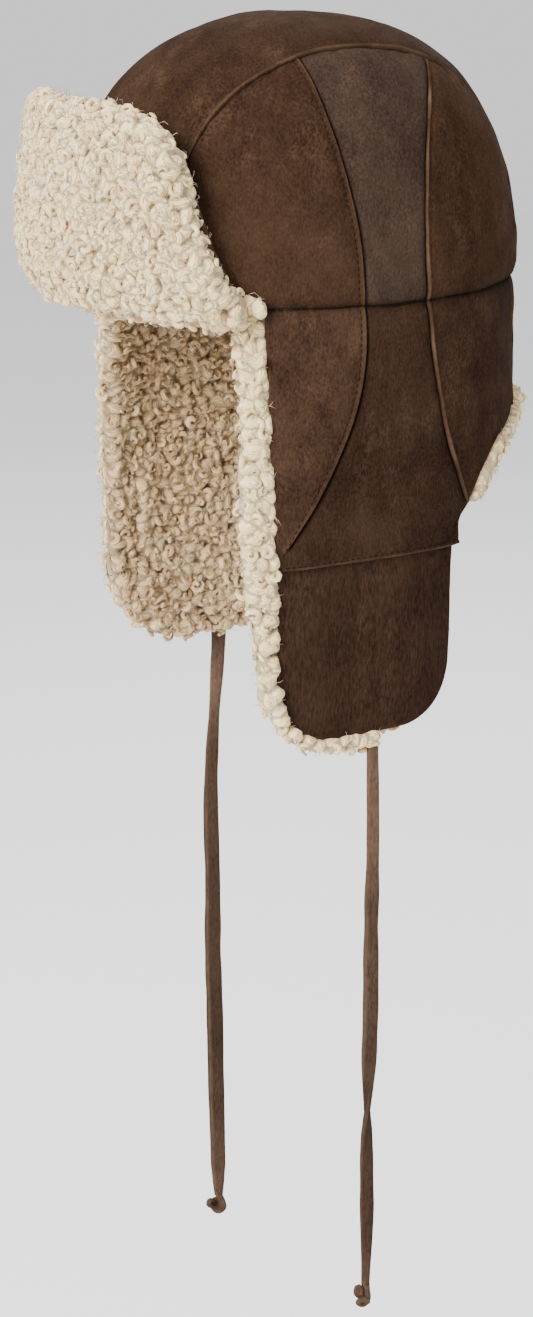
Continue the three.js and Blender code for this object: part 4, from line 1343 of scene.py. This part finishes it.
def fleece_piece(name, node_name, outer, inner, marked, rooted, wool, seed, side=1):
    """A closed body between two grids, tufted over its marked points, with loose hairs there and curled
    locks over its rooted points."""
    mirror = np.array([side, 1, 1])
    body, quads = slab(outer * mirror, inner * mirror)
    normals = vertex_normals(body, quads)
    mark = marked.ravel()
    corners = body[quads]
    area = np.linalg.norm(np.cross(corners[:, 2] - corners[:, 0], corners[:, 3] - corners[:, 1]), axis=1) / 2
    shown = area * mark[quads].mean(axis=1)
    curled = area * rooted.ravel()[quads].min(axis=1)
    tufts = scattered(corners, normals[quads], area, wool["spacing"], seed + 1)[:2]
    height, wool_tone_and_shade, strand = tufted(body, *tufts, wool["size"], wool["slender"], seed + 2)
    roots, ups, on_face = scattered(corners, normals[quads], curled, wool["apart"], seed + 3)
    under, _, _ = tufted(roots, *tufts, wool["size"], wool["slender"], seed + 2)
    locks, lock_sides, lock_ends, lock_tone_and_shade, lock_strand = curls(
        roots + ups * under[:, None], ups, wool["lock"], wool["turns"], seed + 4, len(body)
    )
    body = body + normals * (mark * height)[:, None]
    rng = np.random.default_rng(seed + 5)
    weight = (mark > 0.9) * 1.0
    count = int(shown.sum() / wool["hair_area"])
    chosen = rng.choice(len(body), size=count, p=weight / weight.sum())
    loose, hair_sides, hair_ends = hairs(body[chosen], normals[chosen], seed + 6, len(body) + len(locks))
    # The wool of a lining's inner face is darkened as painted shade, and the locks and hairs rooted there
    # with it
    face_shade = np.repeat([1.0, wool["head_side_shade"]], len(body) // 2)
    lock_shade = face_shade[quads[on_face, 0]]
    lock_tone_and_shade = lock_tone_and_shade * np.repeat(lock_shade, CURL_RINGS * CURL_CORNERS)
    hair_tone_and_shade = np.repeat(0.9 * face_shade[chosen], HAIR_RINGS * HAIR_CORNERS)
    # Wool that is unmarked, where it runs under the leather's edge or turns away, is toned down to the
    # darkest: painted shade
    attributes = {
        "wool_tone_and_shade": np.concatenate([wool_tone_and_shade * mark * face_shade, lock_tone_and_shade, hair_tone_and_shade]),
        "strand": np.concatenate([strand, lock_strand, loose]),
    }
    cloud = np.concatenate([body, locks, loose])
    faces = [np.concatenate([quads, lock_sides]), lock_ends, hair_sides, hair_ends]
    made = make_mesh(name, cloud, faces, attributes)
    dress(made, "fleece")
    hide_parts(node_name)


def rounded_in(away, radius):
    """How far a thick sheet's face has drawn in at a distance from its open rim."""
    share = np.clip(1 - away / radius, 0, 1)
    return radius * (1 - np.sqrt(1 - share**2))


def lining_faces(surface, near, drawn):
    """A lining's two faces, from how far under the shell it starts and how far it has drawn in."""
    normals = outward(surface)
    outer = surface - normals * (near + drawn)[..., None]
    inner = surface - normals * (np.maximum(near, LAYER) + BODY - drawn)[..., None]
    return outer, inner


# How far locks stand off their skin, and how thick a lining's skin is
LOCK_REACH = 2.6
BODY = 6.6
# Each lining's wool: how far apart its tufts are and how large and slender, how far apart its locks are, how
# large they are and how far they turn, the area for each hair, and the painted shade of its inner face (its
# wool darkened as if less light reached it)
EAR_WOOL = {
    "spacing": 4.4, "size": 3.9, "slender": 1.3, "apart": 4.7, "lock": 2.9, "turns": (240, 460),
    "hair_area": 10, "head_side_shade": 0.5,
}
VISOR_WOOL = {
    "spacing": 4.1, "size": 3.6, "slender": 1.5, "apart": 4.8, "lock": 2.6, "turns": (180, 400),
    "hair_area": 5.5, "head_side_shade": 1.0,
}
NAPE_WOOL = {**EAR_WOOL, "spacing": 3.8, "size": 3.4, "apart": 4.4, "lock": 2.5, "hair_area": 12}
CROWN_WOOL = {**EAR_WOOL, "spacing": 5.6, "size": 4.6, "apart": 8.0, "lock": 3.2, "hair_area": 60}


# How far in front of the ear line the lining reaches at each drop, and the radius of its front corner
FLEECE_FRONT = {
    1: [
        (0, 65.4), (48, 63.4), (75, 65), (92, 65.8), (118, 63.4), (131, 63.2), (145, 60.4), (160, 57.2),
        (175, 56),
    ],
    -1: [(0, 70.6), (60, 69), (118, 66.8), (155, 66)],
}
FLEECE_CORNER = {1: 37, -1: 47}
BAND_RISE = 4.6
BAND_ROUNDING = 6
# Each lining's rim radius, and its grid's columns and rows
EAR_ROUNDING, VISOR_ROUNDING, NAPE_ROUNDING, CROWN_ROUNDING = 4.2, 5.4, 3.8, 3.4
EAR_GRID, VISOR_GRID, NAPE_GRID, CROWN_GRID = (106, 172), (196, 88), (130, 50), (161, 48)
VISOR_LEATHER_GRID = (80, 40)


def ear_lining(label, side):
    front_table = FLEECE_FRONT[side]
    front_foot = front_table[-1][1]
    front_corner = FLEECE_CORNER[side]
    rear = FLAP_REAR - 0.5
    rear_corner = FLAP_CORNER + (16 if side > 0 else 2)
    drop = FLAP_DROP + HEM_LIP - LOCK_REACH - (4.0 if side < 0 else 1)
    hang = -3.6 if side > 0 else 0.0
    columns, rows = EAR_GRID

    def reach(z):
        return read_off(front_table, -z)

    def foot_at(y):
        return flap_foot(y, front_foot, rear, drop, front_corner, rear_corner) + hang * smooth(-y, -4, 2)

    u, v = np.meshgrid(crowded(np.linspace(0, 1, columns), 0.45), np.linspace(0, 1, rows))
    foot = foot_at(lerp(-front_foot, rear, u))
    top = -0.5 + BAND_RISE * smooth(lerp(front_table[0][1], -rear, u), BROW_CORNER - 1, BROW_CORNER + 2)
    z = lerp(top, foot, crowded(v, 0.3))
    past = np.clip(BAND_ROUNDING - BAND_RISE + 0.5 + z, 0, BAND_ROUNDING)
    y = lerp(BAND_ROUNDING - np.sqrt(BAND_ROUNDING**2 - past**2) - reach(z), rear, u)
    surface = side_point(y, z)
    foot_line = lerp(-front_foot, rear, crowded(np.linspace(0, 1, FOOT_POINTS), FOOT_CROWDING))
    sides = np.arange(0, -drop + front_corner, -4.0)
    head = BAND_RISE - 0.5
    outline = np.concatenate([
        [(1 - BROW_CORNER, head), (BAND_ROUNDING - reach(0.0), head), (1.8 - reach(0.0), head - 1.8)],
        np.stack([-reach(sides), sides], -1),
        np.stack([foot_line, foot_at(foot_line)], -1),
        [(rear, -HEM_DROP), (rear + 14, -HEM_DROP)],
    ])
    flat = stacked(y, z, 0)
    away, _ = nearest_on(flat, np.concatenate([outline, np.zeros((len(outline), 1))], axis=1))
    skirt_front = lerp(BROW_CORNER, HEM_FRONT, np.clip(-z / HEM_DROP, 0, 1))
    leather_front = np.where(z > -HEM_DROP, skirt_front, FLAP_FRONT)
    leather_foot = flap_foot(np.clip(y, -FLAP_FRONT, FLAP_REAR), *FLAP_SIZES)
    beyond = np.maximum(-leather_front - y, leather_foot - z)
    under = LAYER + (LAYER + TIE_GAP) * smooth(-z, HEM_DROP - 3 * FLAP_TUCK, HEM_DROP - FLAP_TUCK)
    shown = smooth(beyond, -1.5, 2.0)
    near = lerp(lerp(under, 1.2, shown), -2.4, shown * smooth(z, -4, 1))
    outer, inner = lining_faces(surface, near, rounded_in(away, EAR_ROUNDING))
    marked = np.stack([shown, np.ones_like(shown)])
    marked[:, 0] *= shown[0]
    marked[:, :, -1] *= z[:, -1] < -HEM_DROP
    rooted = np.stack([smooth(beyond, 1.5, 4.5), marked[1]])
    names = (f"fleece_ear_{label}", f"lining_ear_{label}")
    fleece_piece(*names, outer, inner, marked, rooted, EAR_WOOL, 200 + side, side)


for label, side in SIDES.items():
    ear_lining(label, side)


def visor_point(across, rise, stand, lip=0.0):
    half = VISOR_HALF_TURN * np.interp(rise, VISOR_RISE, VISOR_SPAN)
    turn = half + np.degrees(lip / HALF_LENGTH)
    lean = VISOR_STAND * np.interp(rise, VISOR_RISE, VISOR_LEAN)
    close = 1 - VISOR_CLOSE * np.abs(across) ** 3
    angle = np.radians(-90 + across * turn)
    off = np.where(lean > 0, lean * close, lean) + stand
    x, y = (HALF_WIDTH + off) * np.cos(angle), (HALF_LENGTH + off) * np.sin(angle)
    return stacked(x, y, rise * VISOR_HEIGHT - VISOR_FOOT)


# How much lower the visor's top corners are, and half its run along the brow
CORNER_DROP = 5
VISOR_HALF_RUN = 105


def make_visor_leather():
    columns, rows = VISOR_LEATHER_GRID
    across, share = np.meshgrid(np.linspace(-1, 1, columns), crowded(np.linspace(0, 1, rows), 0.5))
    rise = share * (1 - CORNER_DROP * smooth(np.abs(across), 0.65, 1.0) / VISOR_HEIGHT)
    edge = np.minimum((1 - np.abs(across)) * VISOR_HALF_RUN, np.minimum(share, 1 - share) * VISOR_HEIGHT)
    drawn = rounded_in(edge, 0.7)
    outer = visor_point(across, rise, LAYER_GAP + drawn)
    inner = visor_point(across, rise, LAYER_GAP + LEATHER - drawn)
    cloud, quads = slab(outer, inner)
    rubbed = np.tile(0.9 * (1 - smooth(edge, 0.6, 2.4)).ravel(), 2)
    leather = make_mesh("suede_visor", cloud, [quads], {"rubbed": rubbed, "hide": np.full(len(cloud), 0.5)})
    dress(leather, "crown_suede")
    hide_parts("visor_leather")


def make_visor_fleece():
    columns, rows = VISOR_GRID
    shares = crowded(np.linspace(0, 1, columns), 0.4), crowded(np.linspace(0, 1, rows), 0.5)
    across, share = np.meshgrid(shares[0] * 2 - 1, shares[1])
    fronting = 1 - smooth(np.abs(across), 0.45, 0.95)
    low = (VISOR_FOOT - BROW_ROLL + 1.5 + 3.6 * fronting) / VISOR_HEIGHT
    high = 1 - (0.6 + CORNER_DROP * smooth(np.abs(across), 0.65, 1.0)) / VISOR_HEIGHT
    rise = lerp(low, high, share)
    half = VISOR_HALF_TURN * np.interp(rise, VISOR_RISE, VISOR_SPAN)
    edge = np.minimum(
        (1 - np.abs(across)) * np.radians(half) * (HALF_LENGTH + 6),
        np.minimum(rise - low, high - rise) * VISOR_HEIGHT,
    )
    drawn = rounded_in(edge, VISOR_ROUNDING)
    skin = LAYER_GAP + LAYER
    pile = 9.6 - 2.2 * fronting
    reach = 0.4 - 3.6 * (1 - smooth(rise, 0.45, 0.85))
    back = visor_point(across, rise, skin + 0.35 * drawn, reach)
    front = visor_point(across, rise, skin + pile - drawn, reach)
    marked = np.stack([smooth(-edge, -3.0, -0.5), np.ones_like(edge)])
    fleece_piece("fleece_visor", "visor_fleece", back, front, marked, marked, VISOR_WOOL, 300)


make_visor_leather()
make_visor_fleece()


def make_nape_lining():
    start_angle = float(angle_along(FLAP_REAR + 0.4))
    columns, rows = NAPE_GRID
    hem_line = np.array([
        drop_point(HEM_REAR, 1), drop_point(HEM_REAR, REAR_RUNOUT), *lower_seam(LOWER_REAR, 0)[-1:],
        *lower_seam(REAR_EDGE, 0), nape_point(1, 0, 1),
    ])
    hem_angles = np.degrees(np.arctan2(hem_line[:, 1] / HALF_LENGTH, hem_line[:, 0] / HALF_WIDTH))
    order = np.argsort(hem_angles)
    degrees, v = np.meshgrid(np.linspace(start_angle, 180 - start_angle, columns), np.linspace(0, 1, rows))
    folded = np.minimum(degrees, 180 - degrees)
    hem = np.interp(folded, hem_angles[order], -hem_line[order, 2])
    slant = np.gradient(hem[0], np.radians(degrees[0]) * HALF_LENGTH)
    from_ear = folded[0] - start_angle
    lip = (HEM_LIP + 1) * smooth(from_ear, 2.5, 9)
    foot = np.minimum(hem + lip * np.sqrt(1 + slant**2), HEM_DROP)
    z = -lerp(0.5, foot, v)
    surface = ring_point(degrees, z)
    away = (foot + z) * 0.9
    wrap = 5.5 * smooth(folded, 61, 67)
    shown = smooth(-z - hem + wrap, -1.0, 1.5)
    near = lerp(LAYER, -1.4 - 0.3 * wrap, shown)
    outer, inner = lining_faces(surface, near, rounded_in(away, NAPE_ROUNDING))
    marked = np.stack([shown, np.ones_like(shown)])
    marked[:, 0] = 0
    marked[:, :, [0, -1]] = 0
    rooted = marked * np.stack([smooth(-z - hem + wrap, 1.0, 3.5), np.ones_like(z)])
    fleece_piece("fleece_nape", "lining_nape", outer, inner, marked, rooted, NAPE_WOOL, 400)


make_nape_lining()


def make_crown_lining():
    columns, rows = CROWN_GRID
    degrees, v = np.meshgrid(np.linspace(-180, 180, columns), np.linspace(0, 0.985, rows))
    browed = np.abs(((degrees + 90 + 180) % 360) - 180)
    limit = 90 + float(angle_along(-(BROW_CORNER + PILE_LIP)))
    low = lerp(-BROW_ROLL, -2, smooth(browed, limit - 5, limit + 1))
    spread = np.cos(math.pi / 2 * v)
    base = ring_point(degrees, low)
    rise = CROWN_HEIGHT * np.sin(math.pi / 2 * v)
    dome = stacked(base[..., 0] * spread, base[..., 1] * spread, rise + low * (1 - v) ** 6)
    surface = np.where(dome[..., 2:] > 0, on_shell(np.maximum(dome, [-1e3, -1e3, 1e-3])), dome)
    drawn = rounded_in((surface[..., 2] - low) + 0.3, CROWN_ROUNDING) * (low < -3)
    outer, inner = lining_faces(surface, LAYER, drawn)
    marked = np.stack([drawn / CROWN_ROUNDING, np.ones_like(drawn)])
    marked[:, 0] *= low[0] < -3
    fleece_piece("fleece_crown", "lining_crown", outer, inner, marked, marked, CROWN_WOOL, 500)


make_crown_lining()


# Floor and light: the floor in millimetres, each lamp's place and width in metres, and its power
FLOOR_HALF = 6000
FLOOR_DROP = 900
FLOOR_CORNERS = [(-1, -1), (1, -1), (1, 1), (-1, 1)]
LAMPS = [
    ("key", (0.9, -2.1, 1.2), 1.3, 174),
    ("fill", (2.2, 0.6, 0.7), 1.6, 13),
    ("top", (-0.3, 0.3, 2.2), 1.4, 26),
    ("back", (-1.6, 1.4, 1.2), 1.4, 30),
]
LAMP_AIM = (0, 0, -0.1)


def make_stage():
    points = [(x * FLOOR_HALF, y * FLOOR_HALF, -FLOOR_DROP) for x, y in FLOOR_CORNERS]
    floor = make_mesh("floor", points, [[[0, 1, 2, 3]]])
    settings = {"Base Color": (0.93, 0.93, 0.93, 1), "Roughness": 0.9}
    floor.data.materials.append(new_material("floor", settings)[0])
    world = bpy.data.worlds.new("world")
    world.use_nodes = True
    background = world.node_tree.nodes["Background"]
    background.inputs["Color"].default_value = (1, 1, 1, 1)
    background.inputs["Strength"].default_value = 1.0
    bpy.context.scene.world = world
    for name, place, size, power in LAMPS:
        data = bpy.data.lights.new(name, "AREA")
        data.shape = "DISK"
        data.size = size
        data.energy = power
        lamp = bpy.data.objects.new(name, data)
        lamp.location = place
        aim = Vector(LAMP_AIM) - Vector(place)
        lamp.rotation_euler = aim.to_track_quat("-Z", "Y").to_euler()
        bpy.context.collection.objects.link(lamp)


make_stage()
